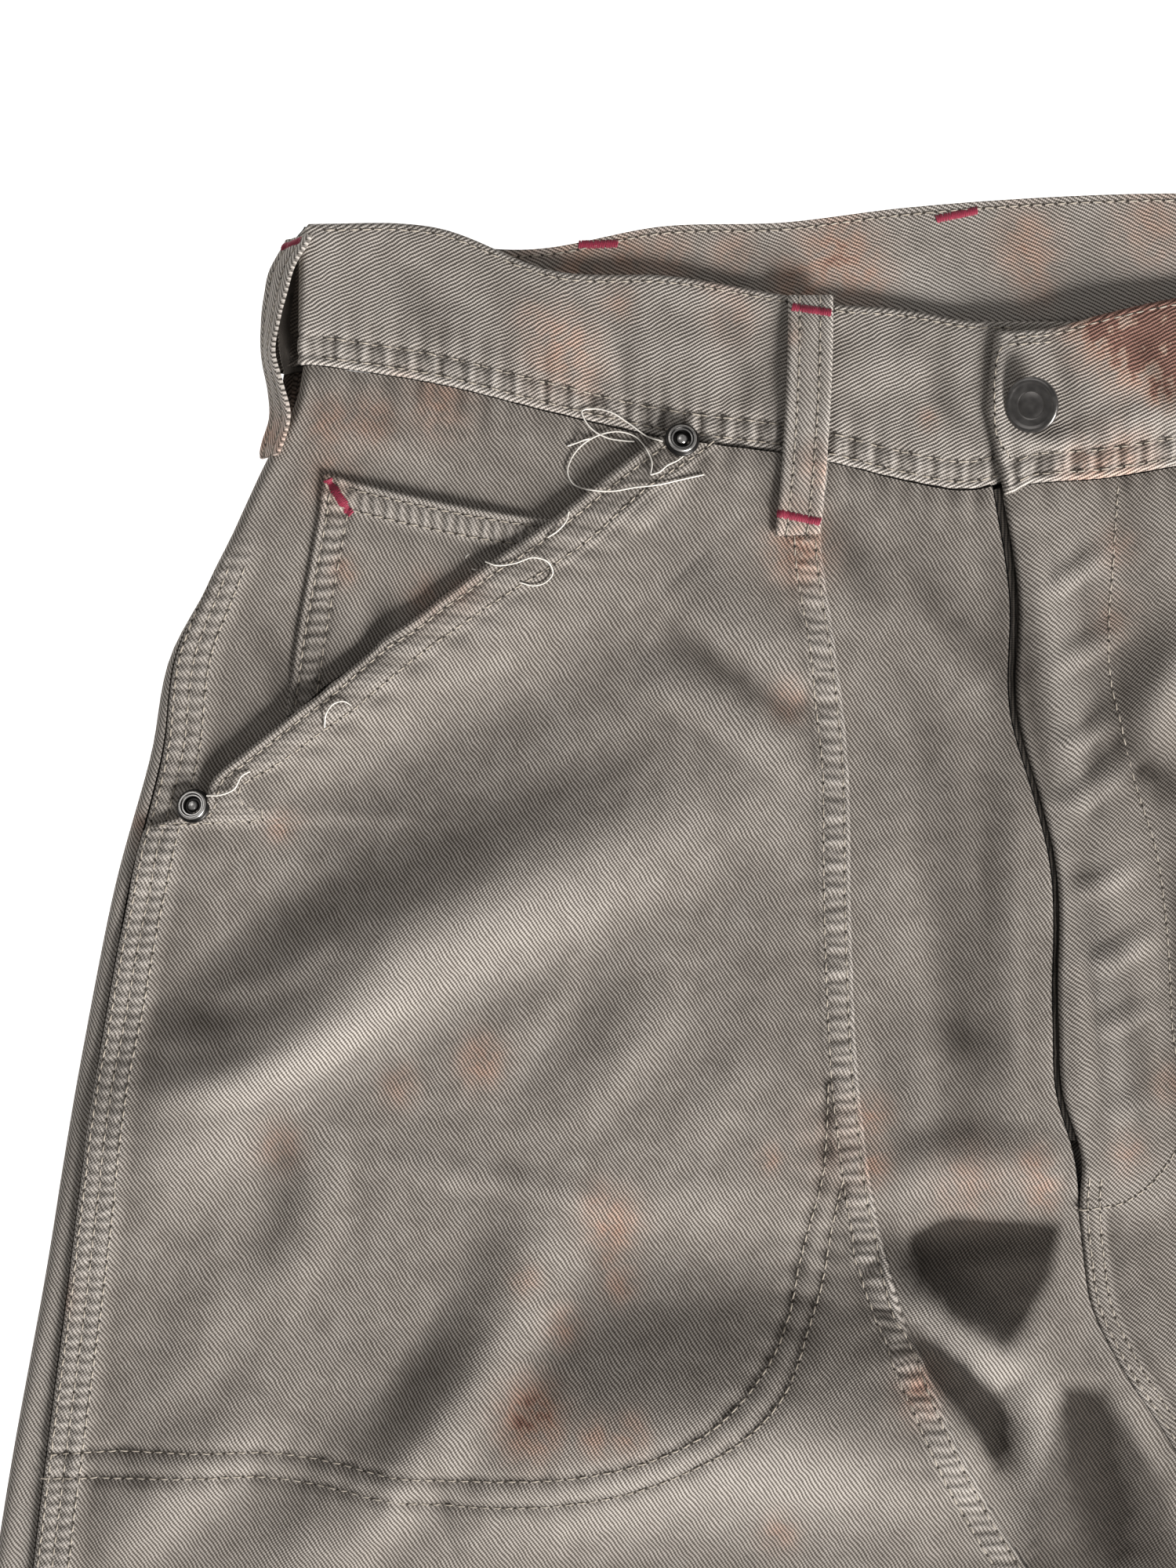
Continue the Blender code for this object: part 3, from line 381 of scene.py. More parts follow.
def ripple(along, across, period, seed):
    """Uneven gathers along a seam."""
    drift = uneven(along, across * 0.35, 15.0, seed)
    size = 0.65 + 0.35 * uneven(along, across, 24.0, seed + 1)
    return size * np.sin(2 * np.pi * (along / period + 0.55 * drift))


def front_height(x, y):
    """Height of the front panels' face, with its folds and creases."""
    height = LEG_LIE + (WAIST_LIE - LEG_LIE) * step(y, WAIST_STEP)
    for crease in FOLDS + CREASES:
        height = height + crease_height(crease, x, y)
    rough = 0.24 * uneven(x, y, 17.0, 11) + 0.09 * uneven(x + y, y - x, 7.0, 12)
    return height + rough


def painted_wear_light_and_shade(x, y, relief):
    """Paler on what stands up, as wear and painted highlight, and darker in what lies low, as painted
    shade, on the front panels and what lies on them.
    """
    high = front_height(x, y)
    wear_and_highlight, soil_and_shade = wear_light_and_shade_of(relief, 5, 4)
    for reach, gain in ((5.0, 0.5), (15.0, 0.11)):
        turns = np.linspace(0, 2 * np.pi, 7)[:-1]
        around = [front_height(x + reach * np.cos(t), y + reach * np.sin(t)) for t in turns]
        stands = high - sum(around) / len(around)
        wear_and_highlight = wear_and_highlight + np.clip(stands * gain, 0, 0.5)
        soil_and_shade = soil_and_shade + np.clip(-stands * gain, 0, 0.5)
    for patch in LIGHT_AND_SHADE_PATCHES:
        shade = crease_height(patch, x, y)
        soil_and_shade, wear_and_highlight = soil_and_shade + np.clip(shade, 0, None), wear_and_highlight + np.clip(-shade, 0, None)
    for hollow in SHADED_HOLLOWS:
        soil_and_shade = soil_and_shade + hollow.dark * inside(x, y, hollow.corners, hollow.soft)
    return wear_and_highlight, soil_and_shade


def under_height(y):
    return BACK_LIFT * step(y, LOOPS_STEP)


right_low, right_high = curve(RIGHT_BAND, "x", "low"), curve(RIGHT_BAND, "x", "high")
left_low, left_high = curve(LEFT_BAND, "x", "low"), curve(LEFT_BAND, "x", "high")
back_low, back_high = curve(BACK_BAND, "x", "low"), curve(BACK_BAND, "x", "high")
rise_edge, rise_short = curve(RISE, "y", "edge"), curve(RISE, "y", "short_by")
back_rise = curve(RISE, "y", "back")
seam_in = curve(OUTLINE, "y", "seam_in")

Leg = namedtuple("Leg", "side in_sign outer inner front_low twill")
LEGS = (
    Leg("right", 1, curve(OUTLINE, "y", "right"), curve(INNER, "y", "right"), right_low, -55),
    Leg("left", -1, curve(OUTLINE, "y", "left"), curve(INNER, "y", "left"), left_low, -40),
)


class Lay:
    """Places cloth by its level down a leg and its distance in from the outline along the cloth.

    Distances below zero run round the outline and across the floor."""

    def __init__(self, leg, levels, low):
        self.leg, self.low = leg, low
        self.levels = np.array(levels, float)[:, None]
        fade = (self.levels - SEAM_FADES) / (SEAM_LEVEL - SEAM_FADES)
        self.fade = np.clip(fade, 0, 1) ** 1.6
        self.tilt = HEM_TILT * leg.in_sign * step(-self.levels, HEM_STEP)
        self.middle = (leg.outer(self.levels) + leg.inner(self.levels)) / 2
        self.out_x, self.in_x = self.meet(leg.outer), self.meet(leg.inner)
        self.in_roll = np.maximum(EDGE_ROLL * step(-self.levels, INSEAM_STEP), SHARP_ROLL)
        self.in_round = EDGE_ROUND * self.in_roll / EDGE_ROLL
        self.across = self.cloth_to(self.in_x) - self.in_roll + self.in_round
        self.below_fork = self.levels < FORK_Y
        self.inseam_in = INSEAM_IN * ease((FORK_Y - self.levels) / 18.0)
        self.seam = seam_in(self.y(self.out_x))

    def y(self, x):
        bend = (self.low(x) - SEAM_LEVEL) * self.fade
        return self.levels + bend - self.tilt * (x - self.middle) - SEAM_GAP

    def meet(self, edge):
        """The x where each row meets an edge that is given by its y."""
        y = self.levels
        for _ in range(6):
            x = edge(y)
            y = self.y(x)
        return x

    def cloth_to(self, x):
        return self.leg.in_sign * (x - self.out_x) - EDGE_ROLL + EDGE_ROUND

    def place(self, cloth_in):
        """Points (rows, columns, 3) on the outside of the leg's own panels."""
        sign = self.leg.in_sign
        on_back = cloth_in < 0
        along = np.abs(cloth_in)
        past = along > self.across
        along = np.where(past & self.below_fork, 2 * self.across - along, along)
        on_back = on_back ^ (past & self.below_fork)
        left_over = self.across - along
        turn_out = along < EDGE_ROUND
        turn_in = (left_over < self.in_round) & self.below_fork & ~turn_out
        share = np.where(turn_out, along / EDGE_ROUND, 1.0)
        share = np.where(turn_in, left_over / self.in_round, share) * np.pi / 2
        x = self.out_x + sign * (EDGE_ROLL + along - EDGE_ROUND)
        x = np.where(turn_out, self.out_x + sign * EDGE_ROLL * (1 - np.cos(share)), x)
        x = np.where(turn_in, self.in_x - sign * self.in_roll * (1 - np.cos(share)), x)
        y = self.y(x)
        low, high = under_height(y), front_height(x, y)
        side = np.where(on_back, -1.0, 1.0)
        return np.stack([x, y, low + (high - low) * (1 + side * np.sin(share)) / 2], axis=2)


def spread(start, end, count, places=EDGE_PLACES):
    """Columns from start to end for each row: close together at both edges, even between."""
    places = np.array(places, float)
    room = np.minimum(1.0, (end - start) * 0.42 / places[-1])
    first = start + places * room
    last = (end - places * room)[:, ::-1]
    t = np.linspace(0, 1, count + 2)[1:-1]
    return np.concatenate([first, first[:, -1:] * (1 - t) + last[:, :1] * t, last], axis=1)


def outward(grid, facing):
    """The outward direction at each point of a grid."""
    down = np.gradient(grid, axis=0)
    side = np.gradient(grid, axis=1)
    normal = np.cross(side, down) * facing
    return normal / np.maximum(np.linalg.norm(normal, axis=2, keepdims=True), 1e-9)


def softened(values, rows=4, columns=4):
    """Each value replaced by the mean of those around it."""
    for axis, reach in ((0, rows), (1, columns)):
        padding = [(0, 0), (0, 0)]
        padding[axis] = (reach + 1, reach)
        total = np.cumsum(np.pad(values, padding, mode="edge"), axis=axis)
        width = 2 * reach + 1
        high = np.take(total, range(width, total.shape[axis]), axis=axis)
        low = np.take(total, range(0, total.shape[axis] - width), axis=axis)
        values = (high - low) / width
    return values


# Rust and bleach have left pinkish spots. A spot is a place, a size and a strength.
Spot = namedtuple("Spot", "x y size strength")
SPOTS = [Spot(*row) for row in (
    (-161.3, -212.0, 5, 0.9), (-124.2, -258.4, 6, 0.9), (-122.2, -275.8, 4, 0.7),
    (-148.9, -274.0, 3, 0.6), (-138.0, -287.7, 4, 0.7), (-146.9, -312.6, 7, 1.3),
    (-119.1, -316.0, 4, 0.7), (-129.1, -317.1, 4, 0.7), (-79.1, -239.8, 3, 0.6),
    (-50.2, -227.8, 4, 0.8), (-49.8, -241.5, 4, 0.8), (-37.8, -305.1, 5, 0.9), (-184.6, -218.9, 4, 0.6),
    (-76.7, -345.7, 4, 0.6), (-74.2, -110.0, 4, 0.8), (-218.4, -235.8, 5, 0.6),
    (-282.9, -278.4, 4, 0.9), (-200.0, -73.1, 3, 0.7), (-218.6, -145.3, 3, 0.7),
    (-204.0, -31.1, 5, 0.8), (-192.0, -30.4, 5, 0.8), (-173.3, -24.4, 7, 0.7), (-71.1, -66.7, 7, 1.0),
    (-4.2, -241.8, 4, 0.8), (-1.8, -249.1, 4, 0.8), (-22.2, -246.6, 8, 0.5), (22.4, -238.2, 4, 0.6),
    (34.0, -218.6, 4, 0.6), (-128.0, -252.0, 4, 0.6), (-126.0, -268.0, 3, 0.6), (18.9, -66.0, 4, 0.5),
    (17.6, -86.0, 5, 0.4), (-204.0, -46.0, 6, 0.6), (-177.0, -80.0, 5, 0.5), (-166.0, -78.0, 4, 0.5),
    (-60.0, -236.0, 10, 0.3), (60.0, -150.0, 6, 0.7), (110.0, -240.0, 8, 0.8), (180.0, -120.0, 5, 0.7),
    (150.0, -360.0, 9, 0.7), (-180.0, -470.0, 8, 0.8), (-120.0, -620.0, 7, 0.7),
    (210.0, -560.0, 9, 0.8), (170.0, -820.0, 7, 0.7), (-230.0, -880.0, 7, 0.7),
)]


def spotted(spots, x, y):
    stain = np.zeros(np.shape(x))
    for spot in spots:
        away = np.hypot(x - spot.x, (y - spot.y) * 0.85) / (1.2 * spot.size)
        stain = np.maximum(stain, spot.strength * np.exp(-away ** 2))
    return stain


def twill_material(name, base, pale, deep, ribs):
    """Worn cotton twill. U runs across its ribs, and wear with painted highlight, soil with painted shade,
    and stain are painted by points.
    """
    material = bpy.data.materials.new(name)
    material.use_nodes = True
    tree = material.node_tree
    shader = tree.nodes["Principled BSDF"]
    shader.inputs["Roughness"].default_value = 0.88
    shader.inputs["Specular IOR Level"].default_value = 0.10
    shader.inputs["Sheen Weight"].default_value = 0.06
    shader.inputs["Sheen Roughness"].default_value = 0.6
    flat = add(tree, "ShaderNodeUVMap", uv_map="cloth")
    millimetres = add(tree, "ShaderNodeVectorMath", {0: flat.outputs[0], 3: 1000.0}, operation="SCALE")
    axes = add(tree, "ShaderNodeSeparateXYZ", {0: millimetres.outputs[0]})

    def noise(scale, detail, rough):
        values = {
            "Vector": millimetres.outputs[0], "Scale": scale, "Detail": detail, "Roughness": rough
        }
        return add(tree, "ShaderNodeTexNoise", values).outputs["Fac"]

    def reckon(operation, *values):
        return add(tree, "ShaderNodeMath", dict(enumerate(values)), operation=operation).outputs[0]

    wander = noise(0.16, 3.0, 0.5)

    def wave(source, pitch, bend, phase):
        turns = reckon("MULTIPLY", source, 2 * math.pi / pitch)
        shifted = reckon("MULTIPLY_ADD", wander, bend, turns)
        return reckon("SINE", reckon("ADD", shifted, phase))

    rib = wave(axes.outputs[0], ribs, 9.0, 0.0)
    yarn = wave(axes.outputs[1], YARN_PITCH, 12.0, 1.0)
    woven = reckon("MULTIPLY_ADD", yarn, 0.35, rib)
    # From broad clouds of fading down to single fibres, with blotches in between
    faded, cloudy, mottled, fibres, blotched = (
        noise(scale, detail, 0.6)
        for scale, detail in ((0.018, 3.0), (0.07, 4.0), (0.55, 3.0), (2.2, 2.0), (0.20, 3.0))
    )

    def mixed(fac, a, b, blend="MIX"):
        node = add(tree, "ShaderNodeMix", {0: fac}, data_type="RGBA", blend_type=blend)
        for socket, value in ((6, a), (7, b)):
            if isinstance(value, tuple):
                node.inputs[socket].default_value = (*value, 1)
            else:
                tree.links.new(value, node.inputs[socket])
        return node.outputs[2]

    def ramp(source, low, high, to_low=0.0, to_high=1.0):
        return add(
            tree, "ShaderNodeMapRange", {0: source, 1: low, 2: high, 3: to_low, 4: to_high}
        ).outputs[0]

    # Between two rows of thread the cloth gathers at each stitch.
    beside = add(tree, "ShaderNodeUVMap", uv_map="seam")
    seam_at = add(tree, "ShaderNodeSeparateXYZ", {0: beside.outputs[0]})
    puckers = wave(reckon("MULTIPLY", seam_at.outputs[0], 1000.0), STITCH, 5.0, 0.0)
    marks = add(tree, "ShaderNodeAttribute", attribute_name="marks")
    gathered_and_shaded = reckon("MULTIPLY", marks.outputs["Alpha"], puckers)
    marked = add(tree, "ShaderNodeSeparateColor", {0: marks.outputs["Color"]})
    colour = mixed(ramp(faded, 0.35, 0.65), base, tuple(0.86 * c for c in base))
    colour = mixed(ramp(cloudy, 0.45, 0.75, 0, 0.55), colour, pale)
    colour = mixed(ramp(cloudy, 0.28, 0.47, 0.38, 0.0), colour, deep)
    colour = mixed(ramp(blotched, 0.30, 0.50, 0.34, 0.0), colour, deep)
    colour = mixed(ramp(blotched, 0.52, 0.72, 0.0, 0.40), colour, pale)
    # The first painted channel pales the cloth: wear, and painted highlight where it stands up or turns
    # from the light.
    worn_and_lit = reckon("MULTIPLY", marked.outputs[0], ramp(mottled, 0.25, 0.65, 0.45, 1.1))
    colour = mixed(worn_and_lit, colour, pale)
    torn = reckon("MULTIPLY", marked.outputs[2], ramp(blotched, 0.35, 0.60, 0.35, 1.05))
    colour = mixed(ramp(woven, -1.0, 0.85, 1.0, 0.0), colour, deep)
    colour = mixed(ramp(woven, 0.0, 1.2, 0.0, 0.72), colour, pale)
    # The puckers are painted too, darker in their troughs and paler on their crests: painted shade and
    # highlight.
    colour = mixed(ramp(gathered_and_shaded, -1.0, 0.0, 0.55, 0.0), colour, deep)
    colour = mixed(ramp(gathered_and_shaded, 0.0, 1.0, 0.0, 0.45), colour, pale)
    colour = mixed(ramp(fibres, 0.55, 0.8, 0, 0.22), colour, pale)
    colour = mixed(torn, colour, (1.27, 0.90, 0.76), "MULTIPLY")
    colour = mixed(ramp(torn, 0.75, 1.15, 0.0, 1.0), colour, (0.52, 0.44, 0.46), "MULTIPLY")
    # The second painted channel darkens the cloth: soil, and painted shade in hollows and under parts.
    soiled_and_shaded = reckon("MULTIPLY", marked.outputs[1], ramp(cloudy, 0.3, 0.7, 0.66, 0.84))
    colour = mixed(soiled_and_shaded, colour, (0.19, 0.18, 0.17), "MULTIPLY")
    tree.links.new(colour, shader.inputs["Base Color"])
    nap = reckon("MULTIPLY_ADD", mottled, 0.8, woven)
    relief = add(tree, "ShaderNodeBump", {"Height": nap, "Strength": 0.55, "Distance": 0.16 * MM})
    drawn_in = add(
        tree, "ShaderNodeBump",
        {"Height": gathered_and_shaded, "Strength": 0.7, "Distance": 0.5 * MM, "Normal": relief.outputs[0]},
    )
    tree.links.new(drawn_in.outputs[0], shader.inputs["Normal"])
    return material


canvas = twill_material(
    "canvas", (0.318, 0.282, 0.250), (0.500, 0.462, 0.425), (0.074, 0.064, 0.054), 1.02
)


def shell(name, face, under, facing, cloth, seam, marks, material):
    """A closed wall of cloth between two grids, with its weave and seam maps and painted marks."""
    rows, columns = face.shape[:2]
    count = rows * columns
    a = (np.arange(rows - 1)[:, None] * columns + np.arange(columns - 1)).ravel()
    quads = [np.stack([a, a + 1, a + columns + 1, a + columns], axis=1)]
    quads.append(quads[0][:, ::-1] + count)
    rim = [*range(columns), *(i * columns + columns - 1 for i in range(1, rows))]
    rim += [*((rows - 1) * columns + i for i in range(columns - 2, -1, -1))]
    rim += [*(i * columns for i in range(rows - 2, 0, -1))]
    here = np.array(rim)
    there = np.roll(here, -1)
    quads.append(np.stack([there, here, here + count, there + count], axis=1))
    quads = np.concatenate(quads)
    if facing < 0:
        quads = quads[:, ::-1]
    points = np.concatenate([face.reshape(-1, 3), under.reshape(-1, 3)])
    points = (points - np.array([0, ORIGIN_Y, 0])) * MM
    mesh = bpy.data.meshes.new(name)
    mesh.vertices.add(len(points))
    mesh.vertices.foreach_set("co", points.ravel())
    mesh.loops.add(quads.size)
    mesh.loops.foreach_set("vertex_index", quads.ravel())
    mesh.polygons.add(len(quads))
    mesh.polygons.foreach_set("loop_start", np.arange(0, quads.size, 4))
    mesh.polygons.foreach_set("use_smooth", np.ones(len(quads), bool))
    mesh.update(calc_edges=True)
    for name_of, flat in (("cloth", cloth), ("seam", seam)):
        flat = np.concatenate([flat.reshape(-1, 2)] * 2) * MM
        mesh.uv_layers.new(name=name_of).data.foreach_set("uv", flat[quads.ravel()].ravel())
    painted = np.concatenate([np.stack(marks, axis=2).reshape(-1, 4)] * 2)
    layer = mesh.color_attributes.new("marks", "FLOAT_COLOR", "POINT")
    layer.data.foreach_set("color", np.clip(painted, 0, 2.5).ravel())
    mesh.set_sharp_from_angle(angle=math.radians(70))
    mesh.materials.append(material)
    return put(name, mesh)


def weave_map(across, down, twill):
    """Cloth positions turned so that U runs across ribs that lie at the given angle."""
    angle = math.radians(twill)
    return np.stack(
        [
            across * math.sin(angle) - down * math.cos(angle),
            across * math.cos(angle) + down * math.sin(angle),
        ],
        axis=2,
    )


def wear_light_and_shade_of(height, rows=4, columns=4):
    """Paler on what stands up, as wear and painted highlight, and darker in what lies low, as soil and
    painted shade, from the heights of a grid.
    """
    stands = height - softened(height, rows, columns)
    broad = height - softened(height, 3 * rows, 3 * columns)
    wear_and_highlight = np.clip(stands * 1.1, 0, 0.8) + np.clip(broad * 0.14, 0, 0.5)
    soil_and_shade = np.clip(-stands * 1.2, 0, 0.6) + np.clip(-broad * 0.14, 0, 0.35)
    return wear_and_highlight, soil_and_shade


def thread_rows(away, rows, deep=0.42, wide=0.75):
    """Rows of thread pull the cloth down in narrow grooves."""
    return -deep * sum(bell(away - row, wide) for row in rows)


def rounded(away, thick, over=1.3):
    """A folded edge rolls down over its last millimetre or so."""
    t = np.clip(away / over, 0, 1)
    return -thick * (1 - np.sqrt(1 - (1 - t) ** 2 * 0.96))


def between(away, low, high, soft=0.8):
    """1 between two rows of thread, and 0 outside them."""
    return ease((away - low + soft) / (2 * soft)) * (1 - ease((away - high + soft) / (2 * soft)))


def lengths(line):
    """How far along a line of points each of them is."""
    return np.concatenate([[0], np.cumsum(np.linalg.norm(np.diff(line, axis=0), axis=1))])


def thread_line(face, away, distance, keep=None, up=None):
    """The line on a grid that lies at one distance from a seam, as points and outward directions."""
    if up is None:
        up = outward(face, 1)
        up = up * np.sign(up[..., 2:3].mean() + 1e-9)
    rows = [i for i in range(len(face)) if keep is None or keep[i]]
    line = [
        [np.interp(distance, away[i], grid[i, :, k]) for grid in (face, up) for k in (0, 1, 2)]
        for i in rows
    ]
    line = np.array(line)
    return line[:, :3], line[:, 3:]


def levels_of(near, far, end=HEM_Y):
    """Rows down a leg: close together where the photo shows it, and further apart below."""
    upper = np.arange(SEAM_LEVEL, SHOWN_TO_Y, -near)
    return np.concatenate([upper, np.arange(upper[-1] - far, end + far / 2, -far), [end]])


# The doubled front covers the panel from the pocket's mouth to its own edge beside the fly.
Point = namedtuple("Point", "x y")
OPENING = [Point(*row) for row in (
    (-104, -30), (-117.8, -40), (-142, -58.9), (-164.4, -74.4), (-186.7, -91), (-208.9, -108.9),
    (-224.4, -121), (-236.7, -131), (-246, -142.5), (-275, -150), (-345, -166),
)]
MIRROR_X = -10.0       # the left hip mirrors the right one about half of this
opening_y, opening_x = curve(OPENING, "x", "y"), curve(OPENING, "y", "x")


def mouth_x(leg):
    """The pocket's mouth on this leg, as x by y."""
    return opening_x if leg.side == "right" else (lambda y: MIRROR_X - opening_x(y))


threads = []
panels = {}
for leg in LEGS:
    fine = leg.side == "right"
    lay = Lay(leg, levels_of(1.9 if fine else 2.6, 5.0), leg.front_low)
    short = (lambda y: GAP_SHARE * rise_short(y)) if fine else (lambda y: 0.0)
    rise_x = lay.meet(lambda y: rise_edge(y) - short(y))
    start = lay.seam + SIDE_GAP / 2
    end = np.where(
        lay.below_fork, lay.across - lay.inseam_in - SEAM_GAP / 2, lay.cloth_to(rise_x)
    )
    cloth_in = spread(start, end, 74 if fine else 60)
    base = lay.place(cloth_in)
    x, y = base[..., 0], base[..., 1]
    from_side, from_end = cloth_in - start, end - cloth_in
    along = -lay.levels + 0 * cloth_in
    # The side seam is felled: its edge is thick, sewn three times and gathered by the thread.
    mirrored = x if fine else MIRROR_X - x
    bare = np.maximum(ease((y - opening_y(mirrored) + 8) / 6), ease((DOUBLE_END_Y - y) / 3))
    hip = 1 - ease((y - HIP_SEWN_Y) / 12)
    seam = 0.7 * until(from_side, 10.8, 2.2) * hip + rounded(from_side, 1.2)
    seam = seam + thread_rows(from_side, SIDE_ROWS, 0.34) * hip
    seam = seam + 0.16 * ripple(along, from_side, 6.4, 21) * bell(from_side - 6, 7.0) * hip
    seam = seam * bare
    gather = 0.36 * between(from_side, 1.4, 10.2) * bare * hip
    # Under the band the cloth is gathered, and the fly and the rise are sewn edges of their own.
    top = -lay.levels + SEAM_LEVEL
    seam = seam + 0.35 * ripple(x, top, 7.5, 22) * bell(top, 9.0)
    if not fine:
        on_fly = np.where(y > FLY_LOW_Y, 1.0, 0.0)
        lift = 1.6 * (1 - step(np.abs(x - rise_x), FLY_SIDE_STEP)) * step(y, FLY_END_STEP)
        felled = (1 - on_fly) * 0.8 * until(from_end, 6.2, 1.4)
        seam = seam + lift + felled + rounded(from_end, 1.3 + 0.4 * on_fly, 1.6)
        seam = seam + (1 - on_fly) * thread_rows(from_end, (2.0, 5.4))
        seam = seam + 0.22 * ripple(along, from_end, 8.0, 23) * bell(from_end, 8.0)
    else:
        seam = seam + rounded(from_end, 0.5)
    face = base + outward(base, -leg.in_sign) * seam[..., None]
    under = base - outward(base, -leg.in_sign) * CLOTH
    if not fine:
        under[..., 2] += lift
    wear_and_highlight, soil_and_shade = painted_wear_light_and_shade(x, y, seam)
    wear_and_highlight = wear_and_highlight + 0.75 * bell(from_side, 1.0) + 0.42 * until(from_side, 10, 3)
    wear_and_highlight = wear_and_highlight + (0.0 if fine else 0.7) * bell(from_end, 1.2)
    # Just below the band the cloth is painted darker, as shade under the band.
    soil_and_shade = soil_and_shade + 0.35 * bell(top, 5.0)
    marks = (wear_and_highlight, soil_and_shade, spotted(SPOTS, x, y), gather)
    cloth = weave_map(leg.in_sign * cloth_in + lay.out_x, y, leg.twill)
    beside = np.stack([along, from_side], axis=2)
    piece = shell(f"front_{leg.side}", face, under, -leg.in_sign, cloth, beside, marks, canvas)
    open_part = (bare[:, 8] > 0.9) & (y[:, 8] < HIP_SEWN_Y)
    for row in SIDE_ROWS:
        for part in (lay.levels[:, 0] > ROWS_PART_Y, lay.levels[:, 0] < ROWS_PART_Y):
            threads.append(thread_line(face, from_side, row, open_part & part))
    if not fine:
        for row in (2.0, 5.4):
            sewn = (lay.levels[:, 0] < FLY_LOW_Y + 6) & (lay.levels[:, 0] > FORK_Y)
            threads.append(thread_line(face[:, ::-1], from_end[:, ::-1], row, sewn))
    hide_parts(f"front_panel_{leg.side}")
    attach(piece, "root")
    panels[f"front_{leg.side}"] = piece

    # The back runs from the side seam round the outline and across the floor.
    lay = Lay(leg, levels_of(4.0, 6.0), back_low)
    start = lay.seam - SIDE_GAP / 2
    rise_x = lay.meet(back_rise)
    end = np.where(
        lay.below_fork, -lay.across - lay.inseam_in + SEAM_GAP / 2,
        -lay.cloth_to(rise_x) + SEAM_GAP / 2,
    )
    turn = start + (-8.0 - start) * np.linspace(0, 1, 12)
    middle = -8.0 + (end + 16.0 + 8.0) * np.linspace(0, 1, 46)[1:]
    last = end + 16.0 * (1 - np.linspace(0, 1, 10)[1:])
    cloth_in = np.concatenate([turn, middle, last], axis=1)
    base = lay.place(cloth_in)
    edges = bell(cloth_in - start, 2.0) + bell(cloth_in - end, 2.0)
    # Just below the band it shows past the front, in the shade of the side loop, where it is painted dark
    # as shade.
    shaded = bell(np.minimum(base[..., 1] + 20, 0), 7.0)
    shaded = shaded * (1 - ease((np.abs(cloth_in) - 5) / 16))
    base[..., 0] -= leg.in_sign * 8.0 * shaded * ease((3.9 - base[..., 2]) / 2.0)
    # The strip beside the side seam, which faces away from the light, is painted paler as highlight.
    marks = (
        0.2 + 0.5 * edges + bell(cloth_in - start, 16.0)
        + 0.25 * uneven(base[..., 0], base[..., 1], 40.0, 31),
        0.2 * ease(-cloth_in / 20) + 0.2 * uneven(base[..., 0], base[..., 1], 55.0, 32) + 1.4 * shaded,
        spotted(SPOTS, base[..., 0] + 40, base[..., 1]) * 0.8,
        0 * cloth_in,
    )
    beside = np.stack([0 * cloth_in, start - cloth_in], axis=2)
    cloth = weave_map(leg.in_sign * cloth_in + lay.out_x, base[..., 1], leg.twill)
    under = base - outward(base, leg.in_sign) * CLOTH
    piece = shell(f"back_{leg.side}", base, under, leg.in_sign, cloth, beside, marks, canvas)
    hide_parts(f"back_panel_{leg.side}")
    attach(piece, "root")
    panels[f"back_{leg.side}"] = piece

# Doubled fronts: a second layer of the same twill over each thigh, from the pocket's mouth to the
# shin. Its edges are turned in and sewn twice, and the pocket's mouth gapes a little. Through it
# shows the double row that holds the pocket bag, which runs round below the hip.
RIGHT_DOUBLE_EDGE = [Point(*row) for row in (
    (-63.5, 0), (-63.3, -44.4), (-65.1, -64.4), (-61.8, -88.9), (-57.6, -122), (-56.2, -177.8),
    (-53.8, -222), (-46.7, -266.6), (-31, -311), (-6.2, -355.6), (14, -382), (45, -405),
)]
LEFT_DOUBLE_EDGE = [Point(*row) for row in (
    (53, 0), (53, -40), (54, -120), (57, -190), (62, -260), (67, -320), (62, -372), (40, -405),
)]
POCKET_BAG = [Point(*row) for row in (
    (-285, -323.8), (-264.4, -322.6), (-242.2, -322.9), (-224.4, -322.9), (-204.4, -325.5),
    (-186.6, -328.9), (-173.3, -330.0), (-153.3, -330.0), (-133.3, -328.4), (-113.3, -323.3),
    (-97.8, -315.5), (-86.7, -305.5), (-77.8, -293.3), (-73.3, -282.2), (-71.1, -271.1),
    (-67.8, -257.8), (-64.4, -244.4), (-63.3, -231.1), (-62.9, -217.8),
)]
BAG_OUTER = [Point(*row) for row in (
    (-285, -330.4), (-242.2, -330.0), (-224.4, -330.0), (-204.4, -332.6), (-186.6, -336.0),
    (-164.4, -337.7), (-142.2, -337.1), (-120.0, -333.3), (-102.2, -326.2), (-86.7, -316.6),
    (-75.5, -304.4), (-68.9, -288.9), (-64.4, -275.5), (-61.8, -260.0), (-58.9, -246.6),
)]
MOUTH_ROWS = (2.7, 8.5)
INNER_ROWS = (1.8, 7.7)
END_ROWS = (2.0, 8.0)
MOUTH_GAPE = 3.2
DOUBLE_MEETS_Y = -396  # from here down the doubled front is as wide as the leg

doubled = twill_material(
    "doubled_canvas", (0.328, 0.291, 0.258), (0.510, 0.472, 0.435), (0.074, 0.064, 0.054), 1.02
)
double_edges = {
    "right": curve(RIGHT_DOUBLE_EDGE, "y", "x"),
    "left": curve(LEFT_DOUBLE_EDGE, "y", "x"),
}


def smooth_line(points, step_mm=2.0):
    """A line of points through the given ones, evenly close together."""
    points = np.array(points, float)
    gone = np.concatenate([[0], np.cumsum(np.hypot(*np.diff(points, axis=0).T))])
    places = np.arange(0, gone[-1], step_mm)
    slopes = np.gradient(points, gone, axis=0)
    i = np.clip(np.searchsorted(gone, places, side="right") - 1, 0, len(gone) - 2)
    span = (gone[i + 1] - gone[i])[:, None]
    t = (places - gone[i])[:, None] / span
    return (
        points[i] * (1 + 2 * t) * (1 - t) ** 2 + slopes[i] * span * t * (1 - t) ** 2
        + points[i + 1] * t * t * (3 - 2 * t) - slopes[i + 1] * span * t * t * (1 - t)
    )


